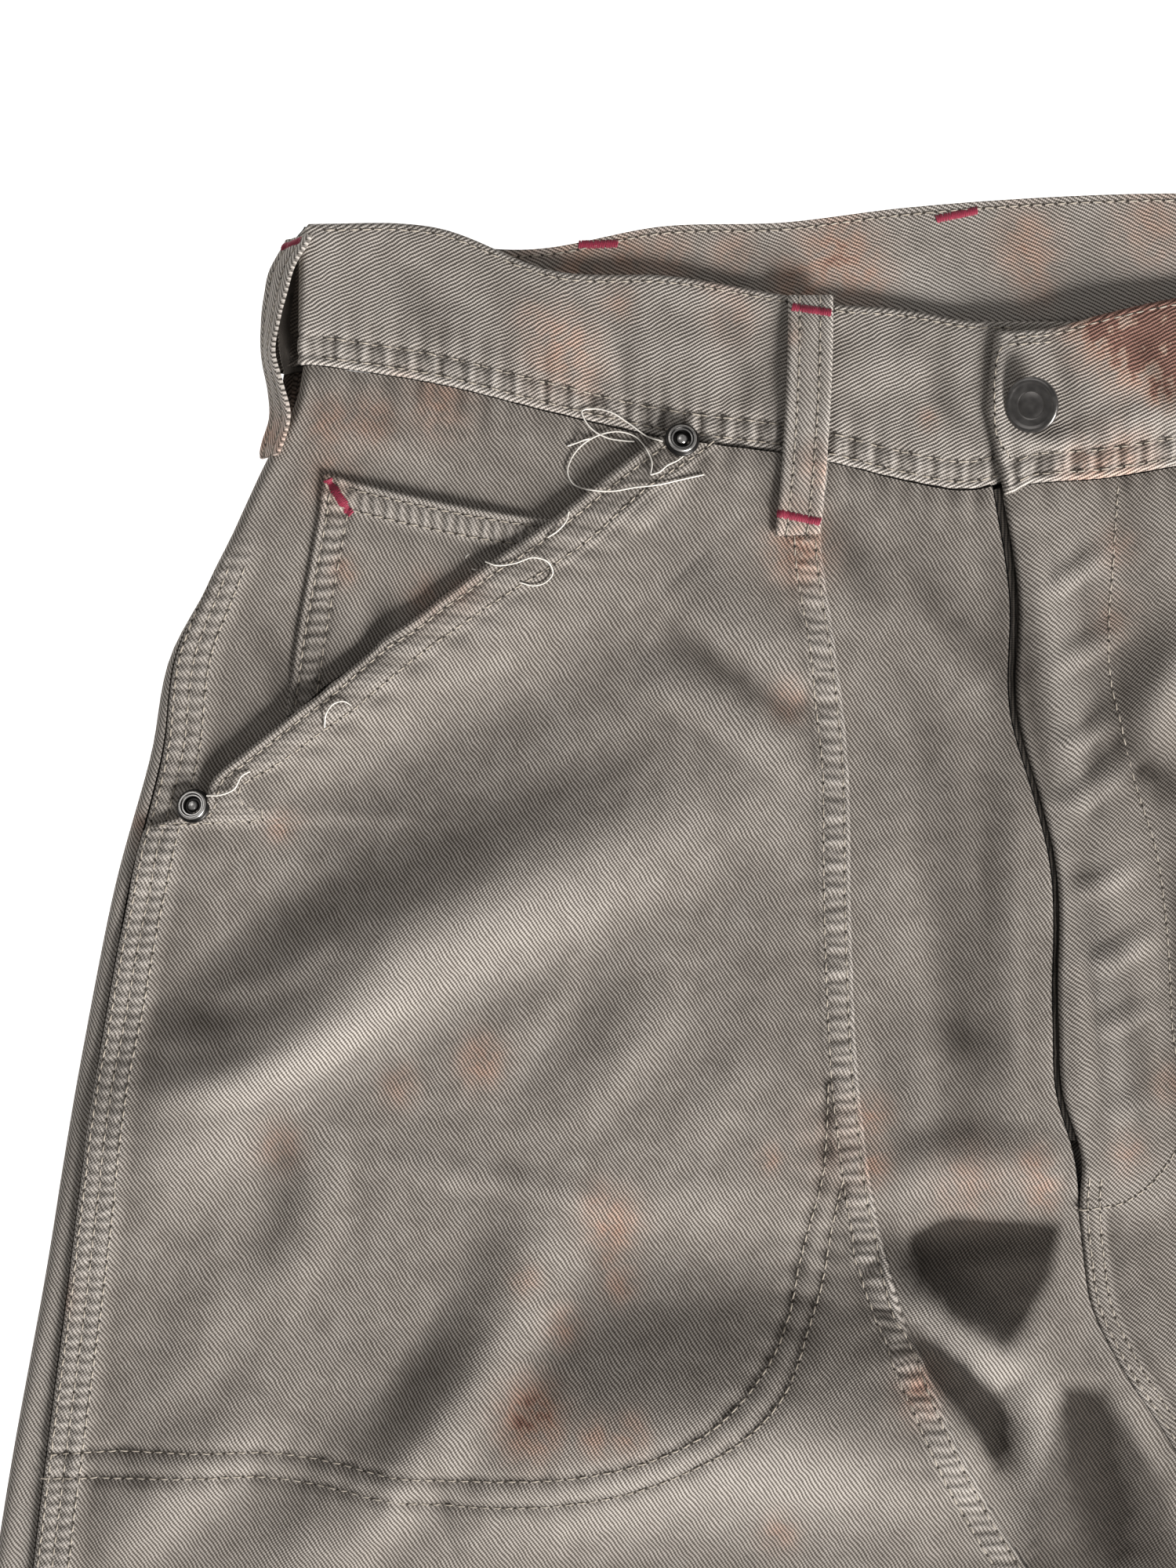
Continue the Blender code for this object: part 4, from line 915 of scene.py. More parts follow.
for leg in LEGS:
    fine = leg.side == "right"
    lay = Lay(leg, levels_of(1.5 if fine else 2.4, 4.2, DOUBLE_END_Y), leg.front_low)
    side = lay.seam + SIDE_GAP / 2
    mouth = lay.cloth_to(lay.meet(mouth_x(leg)))
    start = np.maximum(side, mouth)
    at_mouth = ease((mouth - side) / 6.0)
    end = lay.cloth_to(lay.meet(double_edges[leg.side]))
    # Below the fork the doubled front's edge meets the inseam.
    whole = np.where(lay.below_fork, lay.across - lay.inseam_in - SEAM_GAP / 2, 1e6)
    end = np.where(lay.levels < DOUBLE_MEETS_Y, whole, np.minimum(end, whole))
    cloth_in = spread(start, end, 84 if fine else 56)
    base = lay.place(cloth_in)
    normal = outward(base, -leg.in_sign)
    x, y = base[..., 0], base[..., 1]
    edge, inner_edge = lengths(base[:, 0]), lengths(base[:, -1])
    slant = np.gradient(base[:, 0, 1]) / np.maximum(np.gradient(edge), 1e-6)
    squared = np.clip(np.abs(slant), 0.35, 1.0)[:, None]
    from_start = (cloth_in - start) * np.where(at_mouth > 0.5, squared, 1.0)
    slant = np.gradient(base[:, -1, 1]) / np.maximum(np.gradient(inner_edge), 1e-6)
    from_end = (end - cloth_in) * np.clip(np.abs(slant), 0.35, 1.0)[:, None]
    from_low = lay.levels - DOUBLE_END_Y + 0 * cloth_in
    along = edge[:, None] + 0 * cloth_in
    along_end = inner_edge[:, None] + 0 * cloth_in
    share = np.clip((mouth[:, :1] - side) / (mouth[0] - side[0]), 0, 1)
    gape = MOUTH_GAPE * np.sin(np.pi * np.clip(share * 1.02 - 0.02, 0, 1)) ** 0.7
    gape = gape * bell(from_start, 20.0)
    at_side = 1 - at_mouth
    relief = rounded(from_start, 1.3) + rounded(from_end, 1.3) + rounded(from_low, 1.3)
    relief = relief + at_side * (
        0.8 * until(from_start, 10.8, 2.2) + thread_rows(from_start, SIDE_ROWS, 0.36)
        + 0.18 * ripple(along, from_start, 6.8, 41) * bell(from_start - 6, 7.0)
    )
    relief = relief + at_mouth * (
        0.7 * until(from_start, 8.8, 1.6) + thread_rows(from_start, MOUTH_ROWS)
        + 0.50 * ripple(along, from_start, 12.5, 42) * bell(from_start - 7, 6.0)
    )
    relief = relief + 0.6 * until(from_end, 8.0, 1.6) + thread_rows(from_end, INNER_ROWS)
    relief = relief + 0.42 * ripple(along_end, from_end, 7.4, 43) * between(from_end, 2, 8, 1.4)
    relief = relief + 0.20 * ripple(along_end, from_end, 13.0, 44) * bell(from_end, 16.0)
    relief = relief + 0.6 * until(from_low, 8.4, 1.6) + thread_rows(from_low, END_ROWS)
    gather = 0.38 * at_side * between(from_start, 1.4, 10.2)
    gather = gather + 0.12 * at_mouth * between(from_start, 2.7, 8.5)
    gather = np.maximum(gather, 0.35 * between(from_end, *INNER_ROWS))
    bag, outer_bag = (
        [(x_of if fine else MIRROR_X - x_of, y_of) for x_of, y_of in row] for row in (POCKET_BAG, BAG_OUTER)
    )
    for line, seed in ((bag, 45), (outer_bag, 46)):
        away, on_line, _ = near_line(x, y, line)
        relief = relief - 0.55 * bell(away, 1.5)
        relief = relief + 0.28 * ripple(on_line, away, 9.0, seed) * bell(away, 6.0)
    away, _, _ = near_line(x, y, bag)
    top = SEAM_LEVEL - lay.levels
    relief = relief + 0.35 * ripple(x, top, 8.0, 47) * bell(top, 9.0)
    face = base + normal * (LAY_GAP + CLOTH + gape + relief)[..., None]
    under = base + normal * (LAY_GAP + gape)[..., None]
    wear_and_highlight, soil_and_shade = painted_wear_light_and_shade(x, y, relief)
    # Beside the side seam, where the cloth turns down from the light, it is painted paler as highlight.
    wear_and_highlight = wear_and_highlight + 0.70 * until(from_start, 9, 3) * at_side + 0.15 * until(from_end, 8, 3)
    wear_and_highlight = wear_and_highlight + 0.6 * bell(from_start, 1.3) + 0.65 * bell(from_end, 1.2)
    # Just below the band it is painted darker, as shade under the band.
    soil_and_shade = soil_and_shade + 0.30 * bell(top, 4.0) + 0.25 * bell(away, 1.4)
    marks = (wear_and_highlight, soil_and_shade, spotted(SPOTS, x, y), gather)
    cloth = weave_map(leg.in_sign * cloth_in + lay.out_x, y, leg.twill)
    beside = np.where((from_start < from_end)[..., None], np.stack([along, from_start], axis=2),
                      np.stack([along_end, from_end], axis=2))
    piece = shell(f"doubled_{leg.side}", face, under, -leg.in_sign, cloth, beside, marks, doubled)
    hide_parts(f"double_front_{leg.side}")
    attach(piece, "root")
    panels[f"doubled_{leg.side}"] = piece
    mouth_part, side_part = at_mouth[:, 0] > 0.3, at_mouth[:, 0] <= 0.3
    for row in MOUTH_ROWS:
        threads.append(thread_line(face, from_start, row, mouth_part))
    for row in SIDE_ROWS:
        threads.append(thread_line(face, from_start, row, side_part))
    for row in INNER_ROWS:
        threads.append(thread_line(face[:, ::-1], from_end[:, ::-1], row))

# Watch pocket: a small patch of the twill on the right hip, sewn down the side with two rows and
# hemmed along the top with two. Its other side runs under the mouth of the big pocket.
WATCH_TOP = (Point(-205.6, -45.4), Point(-186.0, -50.4), Point(-164.0, -55.0), Point(-141.0, -58.6))
WATCH_LEFT = [Point(*row) for row in (
    (-205.6, -45.4), (-207.2, -55.6), (-210, -71.1), (-213.4, -88.9), (-217.2, -116.0),
)]
WATCH_SLACK = 3.0      # how far its lower edge runs in under the pocket's mouth
WATCH_TOP_ROWS = (2.6, 8.4)
WATCH_SIDE_ROWS = (2.4, 8.2)
WATCH_CLOTH = 1.0
DROP_FROM = 60.0       # a height above all of the pants

watch_left = curve(WATCH_LEFT, "y", "x")
watch_top = curve(WATCH_TOP, "x", "y")
u = np.concatenate([np.array(EDGE_PLACES) / 76, np.linspace(0.19, 1, 34)])
v = np.concatenate([np.array(EDGE_PLACES) / 72, np.linspace(0.19, 1, 34)])
across, down = np.meshgrid(u, v)
# Along the top it is as wide as the mouth lets show, and it narrows to a point down the mouth.
low_x = watch_left(-45.4 - 68.6 * down)
mouth_at = OPENING[2].x + 2 + (OPENING[5].x - 8 - OPENING[2].x) * down
x = low_x + (np.maximum(mouth_at, low_x + 3.5) - low_x) * across
y = watch_top(x) + (-113.8 - WATCH_TOP[0].y) * down
y = np.maximum(y, opening_y(x) - WATCH_SLACK)
high = front_height(x, y)
from_top = watch_top(x) - y
from_left = x - watch_left(y)
relief = rounded(from_top, 1.0) + rounded(from_left, 1.0)
relief = relief + 0.7 * until(from_top, 8.8, 1.4) + thread_rows(from_top, WATCH_TOP_ROWS)
relief = relief + thread_rows(from_left, WATCH_SIDE_ROWS)
relief = relief + 0.28 * ripple(y, from_left, 6.0, 51) * between(from_left, 2, 9, 1.5)
slack = 0.9 * bell(from_top, 9.0)
relief = relief + slack * np.sin(np.pi * np.clip(across, 0, 1))
face = np.stack([x, y, high + LAY_GAP + WATCH_CLOTH + relief], axis=2)
under = np.stack([x, y, high + LAY_GAP + slack * 0.5], axis=2)
wear_and_highlight, soil_and_shade = painted_wear_light_and_shade(x, y, relief)
wear_and_highlight = wear_and_highlight + 0.15 + 0.7 * bell(from_top, 1.4) + 0.5 * bell(from_left, 1.2)
soil_and_shade = soil_and_shade + 0.35 * ease((from_top - 26) / 30)
corner = bell(np.hypot(x + 204, y + 50), 7.0)
gather = 0.5 * np.maximum(between(from_top, *WATCH_TOP_ROWS), between(from_left, *WATCH_SIDE_ROWS))
beside = np.where((from_top < from_left)[..., None], np.stack([x, from_top], axis=2),
                  np.stack([y, from_left], axis=2))
watch = shell(
    "watch_patch", face, under, -1, weave_map(x + 3, y, -59), beside,
    (wear_and_highlight + 0.5 * corner, soil_and_shade, np.maximum(spotted(SPOTS, x, y), 0.45 * corner), gather), canvas,
)
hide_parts("watch_pocket")
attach(watch, "root")


def tree_of(*pieces):
    """All these pieces as one surface to drop points on, in millimetres."""
    points, faces = [], []
    for piece in pieces:
        mesh = piece.data
        count = len(points)
        places = np.empty(len(mesh.vertices) * 3, np.float32)
        mesh.vertices.foreach_get("co", places)
        places = places.reshape(-1, 3) / MM + np.array([0, ORIGIN_Y, 0])
        points.extend(places.tolist())
        faces.extend([[count + i for i in polygon.vertices] for polygon in mesh.polygons])
    return BVHTree.FromPolygons(points, faces)


def landing(tree, x, y):
    """Where a point dropped on a surface lands, with the surface's direction there."""
    return tree.ray_cast(Vector((x, y, DROP_FROM)), Vector((0, 0, -1)))[:2]


def highest(tree, x, y, shifts):
    """The highest place on a surface among those at the given shifts from a point."""
    landed = [landing(tree, x + dx, y + dy)[0] for dx, dy in shifts]
    return max([hit.z for hit in landed if hit is not None], default=0.0)


def dropped(tree, line):
    """A line's points set down on a surface, with the outward direction there."""
    points, ups = [], []
    for x, y in line:
        hit, normal = landing(tree, x, y)
        if hit is not None:
            points.append(hit)
            ups.append(normal if normal.z > 0 else -normal)
    return np.array(points, float).reshape(-1, 3), np.array(ups, float).reshape(-1, 3)


watch_tree = tree_of(watch)
for row in WATCH_TOP_ROWS:
    xs = np.arange(-200.0 if row > 5 else -198.0, -146, 2.0)
    threads.append(dropped(watch_tree, np.stack([xs, watch_top(xs) - row], axis=1)))
for row in WATCH_SIDE_ROWS:
    ys = np.arange(-50.0 - row, -112, -2.0)
    threads.append(dropped(watch_tree, np.stack([watch_left(ys) + row, ys], axis=1)))

# Zip: dark cotton tape under the edge of the fly, with its teeth closed along the middle. Only the
# tape shows, as a dark strip beside the edge.
ZIP_WIDE = 12.0
TOOTH_STEP, TOOTH_WIDE, TOOTH_LONG, TOOTH_HIGH = 1.7, 2.6, 0.95, 0.9

right_lay = Lay(LEGS[0], np.arange(-39.2, -236, -1.6), right_low)
edge_x = right_lay.meet(lambda y: rise_edge(y) - GAP_SHARE * rise_short(y)) + SEAM_GAP
x = edge_x + ZIP_WIDE * np.linspace(0, 1, 12)
y = right_lay.y(x)
face = np.stack([x, y, front_height(x, y) - 0.25 * ease((x - edge_x) / 2.0)], axis=2)
tape_material = twill_material(
    "zip_tape", (0.026, 0.022, 0.019), (0.060, 0.052, 0.044), (0.008, 0.007, 0.006), 1.1
)
zero = 0 * x
zip_strip = shell(
    "zip_strip", face, face - outward(face, -1) * CLOTH, -1, weave_map(x, y, 90),
    np.stack([zero, zero], axis=2), (0.3 + 0.3 * uneven(x, y, 5.0, 61), zero, zero, zero),
    tape_material,
)
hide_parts("zip_tape")
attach(zip_strip, "root")


def tinted(name, scale, detail, dark, pale):
    """A material between two tones that change over the piece, with its shader and noise."""
    material = bpy.data.materials.new(name)
    material.use_nodes = True
    tree = material.node_tree
    shader = tree.nodes["Principled BSDF"]
    place = add(tree, "ShaderNodeTexCoord").outputs["Object"]
    noise = add(tree, "ShaderNodeTexNoise", {"Vector": place, "Scale": scale, "Detail": detail})
    tint = add(tree, "ShaderNodeMix", {0: noise.outputs["Fac"]}, data_type="RGBA")
    tint.inputs[6].default_value = (*dark, 1)
    tint.inputs[7].default_value = (*pale, 1)
    tree.links.new(tint.outputs[2], shader.inputs["Base Color"])
    return material, shader, noise.outputs["Fac"], place


def metal_material(name, dark, pale, rough):
    """Dark plated metal, a little tarnished, and brighter where it is rubbed."""
    material, shader, dull, place = tinted(name, 420.0, 4.0, dark, pale)
    tree = material.node_tree
    shader.inputs["Metallic"].default_value = 0.85
    marks = add(tree, "ShaderNodeTexNoise", {"Vector": place, "Scale": 2600.0, "Detail": 2.0})
    roughness = add(
        tree, "ShaderNodeMapRange", {0: dull, 1: 0.3, 2: 0.7, 3: rough, 4: rough + 0.16}
    )
    tree.links.new(roughness.outputs[0], shader.inputs["Roughness"])
    bump = add(
        tree, "ShaderNodeBump",
        {"Height": marks.outputs["Fac"], "Strength": 0.25, "Distance": 0.02 * MM},
    )
    tree.links.new(bump.outputs[0], shader.inputs["Normal"])
    return material


gunmetal = metal_material("gunmetal", (0.105, 0.100, 0.098), (0.185, 0.178, 0.172), 0.28)


def set_along(name, lines, spacing, sway, seed, material, build):
    """Small solids set along lines on the cloth, turned to the line and to its outward direction."""
    points = np.concatenate([line[0] for line in lines])
    ups = np.concatenate([line[1] for line in lines])
    edges, first = [], 0
    for line, _ in lines:
        edges += [(first + i, first + i + 1) for i in range(len(line) - 1)]
        first += len(line)
    mesh = bpy.data.meshes.new(name)
    mesh.from_pydata(((points - np.array([0, ORIGIN_Y, 0])) * MM).tolist(), edges, [])
    mesh.attributes.new("up", "FLOAT_VECTOR", "POINT").data.foreach_set("vector", ups.ravel())
    piece = put(name, mesh)

    tree = bpy.data.node_groups.new(name, "GeometryNodeTree")
    for way in ("INPUT", "OUTPUT"):
        tree.interface.new_socket("Geometry", in_out=way, socket_type="NodeSocketGeometry")
    given = tree.nodes.new("NodeGroupInput").outputs["Geometry"]
    line = add(tree, "GeometryNodeMeshToCurve", {0: given})
    even = add(
        tree, "GeometryNodeResampleCurve", {0: line.outputs[0], "Length": spacing * MM}, mode="LENGTH"
    )
    tangent = add(tree, "GeometryNodeInputTangent")
    up = add(tree, "GeometryNodeInputNamedAttribute", {0: "up"}, data_type="FLOAT_VECTOR")
    turn = add(
        tree, "FunctionNodeAxesToRotation", {0: up.outputs[0], 1: tangent.outputs[0]},
        primary_axis="Z", secondary_axis="X",
    )
    drawn = add(
        tree, "FunctionNodeRandomValue",
        {0: (-0.05, -0.05, -1), 1: (0.05, 0.05, 1), "Seed": seed}, data_type="FLOAT_VECTOR",
    )
    swing = add(tree, "ShaderNodeVectorMath", {0: drawn.outputs[0], 3: sway}, operation="SCALE")
    swing_turn = add(tree, "FunctionNodeEulerToRotation", {0: swing.outputs[0]})
    turned_more = add(
        tree, "FunctionNodeRotateRotation", {0: turn.outputs[0], 1: swing_turn.outputs[0]},
        rotation_space="LOCAL",
    )
    placed = add(
        tree, "GeometryNodeInstanceOnPoints",
        {"Points": even.outputs[0], "Instance": build(tree), "Rotation": turned_more.outputs[0]},
    )
    real = add(tree, "GeometryNodeRealizeInstances", {0: placed.outputs[0]})
    finished = add(tree, "GeometryNodeSetMaterial", {0: real.outputs[0], "Material": material})
    result = tree.nodes.new("NodeGroupOutput")
    tree.links.new(finished.outputs[0], result.inputs[0])

    # The result is kept as a plain mesh.
    piece.modifiers.new("along", "NODES").node_group = tree
    bpy.context.view_layer.update()
    graph = bpy.context.evaluated_depsgraph_get()
    made = bpy.data.meshes.new_from_object(piece.evaluated_get(graph))
    piece.modifiers.clear()
    piece.data = made
    return piece


def tooth(tree):
    size = (TOOTH_LONG * MM, TOOTH_WIDE * MM, TOOTH_HIGH * MM)
    return add(tree, "GeometryNodeMeshCube", {0: size}).outputs[0]


middle = face[:, 7] + np.array([0, 0, 0.3])
teeth = set_along(
    "zip_teeth", [(middle, outward(face, -1)[:, 7])], TOOTH_STEP, 0.02, 5, gunmetal, tooth
)
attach(teeth, "root")

# Waistband: one long strip of twill folded double, sewn on with two rows above its lower edge and
# one row along the top. The thread gathers it into short upright puckers between the two rows.
# It runs from the end under the tab, over the right side, round the back, and on to the tab.
BAND_CLOTH = 2.4
BAND_PROUD = 0.6
TAB_LIFT = 2.75
TAB_STEP = Step(16.0, 34.0)
BAND_LEVEL_Y, BAND_SIDE_Y, BAND_SIDE_HIGH = -20.0, 20.0, 40.0
UNDER_END_X, TAB_END_X = 12.0, -19.0
RIGHT_SIDE_X, LEFT_SIDE_X = -205.0, 195.0
TAB_END_SHIFTS = ((0.0, 4.6), (0.5, -0.8), (1.0, 1.8))
BAND_ROWS = (2.3, 7.9)
BACK_PEEKS, BAND_CORNER = 8.6, 2.6
BAND_TOP_ROW = 2.0
BAND_MIDDLE = 8        # the column of its grid that runs along the middle
TAB_REACHES_X = -12    # up to here the tab lies over the end under it
BAND_CREASES = [Crease(*row) for row in (
    (-3, -4, 3, -14, 5, -26, 6, -0.5), (-60, -18, -40, -12, -24, -22, 12, 0.9),
    (-96, 6, -88, -12, -84, -30, 11, -0.8), (-150, 6, -136, -6, -120, -12, 12, 0.9),
    (-196, 18, -180, 6, -168, -8, 12, -0.8), (-34, -6, -30, -20, -26, -34, 9, -0.7),
    (24, -4, 30, -18, 40, -26, 9, -0.9), (12, -34, 26, -30, 40, -28, 7, 0.8),
    (-14, -34, -2, -37, 10, -35, 5, 1.1),
)]
BAND_SPOTS = [Spot(*row) for row in (
    (-138.4, -10.0, 8, 0.8), (-146.0, -3.0, 5, 0.5), (-132.0, -17.0, 5, 0.6), (-123.1, 2.9, 4, 0.5),
    (-34.9, -30.2, 2, 0.7), (10.0, -46.0, 6, 0.9), (20.0, -45.0, 8, 0.8), (34.0, -2.0, 10, 2.3),
    (24.0, -1.0, 8, 2.1), (15.0, -2.0, 8, 2.0), (46.0, -4.0, 10, 2.0), (35.0, -13.0, 7, 2.0),
    (31.0, -21.0, 4, 1.8), (24.0, -9.0, 8, 2.1), (60.0, -10.0, 9, 0.9), (-184.0, -22.0, 4, 0.4),
    (-95.0, 9.0, 4, 0.4), (-90.0, 0.0, 6, 0.4),
)]
BACK_SPOTS = [Spot(*row) for row in (
    (-133.3, 15.6, 7, 0.8), (-120.0, 17.0, 6, 0.8), (-108.0, 17.0, 6, 0.6), (-90.0, 18.0, 5, 0.6),
    (-70.0, 10.0, 7, 0.9), (-60.0, 17.0, 9, 1.0), (-52.0, 12.0, 6, 0.8), (-6.0, 20.0, 7, 0.9),
    (-4.2, 10.0, 5, 0.7), (30.0, 26.0, 9, 0.6), (-150.0, 21.0, 4, 0.7),
)]

band_canvas = twill_material(
    "band_canvas", (0.372, 0.334, 0.298), (0.570, 0.530, 0.490), (0.085, 0.075, 0.065), 0.98
)


def front_band_height(x, y, tab):
    height = front_height(x, np.minimum(y, BAND_LEVEL_Y)) + BAND_PROUD + tab
    return height + sum(crease_height(crease, x, y) for crease in BAND_CREASES)


stations = []
for x in np.arange(UNDER_END_X, RIGHT_SIDE_X - 0.1, -1.5):
    stations.append((x, right_low(x), right_high(x), "under"))
for share in np.linspace(0.97, -0.97, 13):
    stations.append((share, None, None, "right"))
for x in np.arange(-207.0, 197.1, 3.0):
    stations.append((x, back_low(x), back_high(x), "back"))
for share in np.linspace(-0.97, 0.97, 13):
    stations.append((share, None, None, "left"))
for x in np.arange(LEFT_SIDE_X, TAB_END_X - 0.1, -1.5):
    stations.append((x, left_low(x), left_high(x), "tab"))

band_legs = {"right": LEGS[0], "left": LEGS[1]}
up_places = spread(np.zeros((1, 1)), np.full((1, 1), 42.0), 12)[0] / 42.0
rows = []
for place, low, high, part in stations:
    if part in band_legs:
        leg = band_legs[part]
        angle = place * np.pi / 2
        edge_at = float(leg.outer(BAND_SIDE_Y))
        front_x = edge_at + leg.in_sign * EDGE_ROLL
        x = edge_at + leg.in_sign * EDGE_ROLL * (1 - np.cos(angle)) + 0 * up_places
        y = float(leg.front_low(front_x)) + BAND_SIDE_HIGH * up_places
        top = front_band_height(front_x + 0 * y, y, 0.0)
        z = BACK_LIFT + (top - BACK_LIFT) * (1 + np.sin(angle)) / 2
        peeks = BACK_PEEKS * ease((-place - 0.05) / 0.4) * bell(y + 4, 23.0)
        x = x - leg.in_sign * peeks
        y = y - 0.3 * peeks * (1 - up_places) ** 2
        y = y - BAND_CORNER * np.cos(angle) * up_places ** 2
    else:
        x = place + 0 * up_places
        y = low + (high - low) * up_places
        tab = TAB_LIFT * (1 - step(x, TAB_STEP)) if part == "tab" else 0.0
        z = BACK_LIFT + 0 * y if part == "back" else front_band_height(x, y, tab)
    rows.append(np.stack([x, y, z], axis=1))
base = np.array(rows)
kinds = np.array([part for _, _, _, part in stations])
shift_at, shift_by = zip(*TAB_END_SHIFTS)
reach = np.clip(1 - np.arange(len(base))[::-1] / 8.0, 0, 1)
base[..., 0] += reach[:, None] * np.interp(up_places, shift_at, shift_by)
normal = outward(base, 1)
high_of = np.linalg.norm(base[:, -1] - base[:, 0], axis=1)[:, None]
from_low, from_top = up_places * high_of, (1 - up_places) * high_of
along = lengths(base[:, BAND_MIDDLE])
from_tab = (along[-1] - along)[:, None] + 0 * from_low
along = along[:, None] + 0 * from_low
on_back = (kinds == "back")[:, None]
relief = rounded(from_low, 1.5, 1.6) + rounded(from_top, 1.5, 1.8) + rounded(from_tab, 2.0, 2.8)
relief = relief + thread_rows(from_low, BAND_ROWS, 0.5) + thread_rows(from_top, (BAND_TOP_ROW,), 0.3)
puckers = ripple(along, from_low, 6.3, 71)
relief = relief + 0.80 * puckers * between(from_low, 2.3, 8.4, 1.6) * ~on_back
relief = relief + 0.36 * puckers * bell(from_low - 10, 7.0) * ~on_back
relief = relief + 0.16 * ripple(along, from_top, 5.2, 72) * between(from_top, 0.5, 2.4, 1.0)
relief = relief + 0.7 * bell(from_tab - 1.8, 1.1)
rough = 0.5 * uneven(along, from_low, 26.0, 73) + 0.2 * uneven(along, from_low, 9.0, 74)
relief = relief + rough * ~on_back
face = base + normal * relief[..., None]
under = base - normal * (BAND_CLOTH + 0.4 * rounded(from_top, 1.5) * ~on_back)[..., None]
wear_and_highlight, soil_and_shade = wear_light_and_shade_of(relief + np.where(on_back, 0, base[..., 2]), 5, 3)
wear_and_highlight = wear_and_highlight + 1.1 * bell(from_low, 1.9) + 0.5 * bell(from_top, 1.6)
wear_and_highlight = wear_and_highlight + 0.45 * np.clip(uneven(along, from_low * 1.4, 15.0, 76), 0, 1) * ~on_back
wear_and_highlight = wear_and_highlight + 1.4 * bell(from_tab, 3.0)
# The inside of the back is painted paler just above the front's top edge: painted light that offsets the
# shade there.
front_top = np.where(base[..., 0] < TAB_REACHES_X, right_high(base[..., 0]), left_high(base[..., 0]))
painted_light_above_front = bell(base[..., 1] - front_top - 4, 9.0) * ease((base[..., 0] + 90) / 40)
wear_and_highlight = wear_and_highlight + 1.6 * painted_light_above_front * on_back
soil_and_shade = soil_and_shade + 0.20 * bell(from_low - 2.6, 0.8)
# At the sides, low down where the band turns under beside the side loops, it is painted dark as shade.
turns = ((kinds == "right") | (kinds == "left"))[:, None]
soil_and_shade = soil_and_shade + 1.3 * turns * ease((7.5 - base[..., 2]) / 3.0)
back_stain, front_stain = (
    spotted(spots, base[..., 0], base[..., 1]) for spots in (BACK_SPOTS, BAND_SPOTS)
)
covered = (kinds == "under")[:, None] & (base[..., 0] >= TAB_REACHES_X)
stain = np.where(on_back, back_stain, front_stain) * ~covered
gather = 0.35 * between(from_low, *BAND_ROWS)
cloth = weave_map(np.where(on_back, -base[..., 0], base[..., 0]), base[..., 1], 27)
waistband = shell(
    "waistband_strip", face, under, 1, cloth, np.stack([along, from_low], axis=2),
    (wear_and_highlight, soil_and_shade, stain, gather), band_canvas,
)
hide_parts("waistband")
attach(waistband, "root")

# Its rows of thread stop where the tab covers them, and one more row follows the tab's end.
under_tab = (kinds == "under") & (base[:, BAND_MIDDLE, 0] > TAB_REACHES_X)
sewn = ~under_tab & (from_tab[:, 0] > 7.0)
sewn_parts = [sewn & (kinds == part) for part in ("under", "back", "tab")]
for row in BAND_ROWS:
    for part in sewn_parts:
        threads.append(thread_line(face, from_low, row, part, normal))
for part in sewn_parts:
    for side_of_band, up in ((face, normal), (under, -normal)):
        threads.append(thread_line(
            side_of_band[:, ::-1], from_top[:, ::-1], BAND_TOP_ROW, part, up[:, ::-1]
        ))
TAB_ROW = [Point(*row) for row in (
    (-1.4, -8.6), (-7.6, -9.2), (-14.1, -9.9), (-16.3, -18.1), (-16.5, -27.7), (-16.3, -33.5),
    (-14.8, -37.4), (-12.4, -40.6),
)]
band_tree = tree_of(waistband)
threads.append(dropped(band_tree, smooth_line(TAB_ROW)))

# Belt loops: strips of twill folded in three and sewn down their length with two rows. The front
# ones are tacked at the band's top edge and below its lower edge, and bow out between. Those at
# the sides stand on edge and gape, and those of the back lie pressed under the band.
LOOP_WIDE, LOOP_LONG, LOOP_CLOTH = 12.7, 68.0, 1.4
LOOP_BOW, LOOP_BOW_SHARE, LOOP_OVER = 1.7, 0.64, 1.0
LOOP_ROWS = (3.2, 9.0)
LOOP_STEPS, BACK_LOOP_STEPS = 46, 24
# Around each point of a front loop's middle line, the places whose highest it lies on
LOOP_SHIFTS = [(dx, dy) for dx in (-4.4, 0, 4.4) for dy in (-1.5, 0, 1.5)]
Loop = namedtuple("Loop", "node x_top x_low high")
FRONT_LOOPS = (
    Loop("belt_loop_front_right", -68.2, -72.0, right_high),
    Loop("belt_loop_front_left", 58.5, 62.0, left_high),
)
BACK_LOOPS = (
    Loop("belt_loop_back_right", -129.0, -131.0, back_high),
    Loop("belt_loop_back_centre", -25.6, -24.0, back_high),
    Loop("belt_loop_back_left", 84.0, 86.0, back_high),
)
LOOP_SPOTS = [Spot(*row) for row in (
    (-67.0, -43.5, 4, 0.6), (-64.0, -46.0, 4, 0.6), (-72.4, -60.4, 6, 0.5), (-74.0, -6.0, 2.5, 0.5),
    (-71.0, -64.0, 7, 0.5),
)]
places = np.array((0, 0.5, 1.1, 1.9, 2.7, 3.3, 4.0, 5.2, 6.35))
places = np.concatenate([places, LOOP_WIDE - places[-2::-1]])


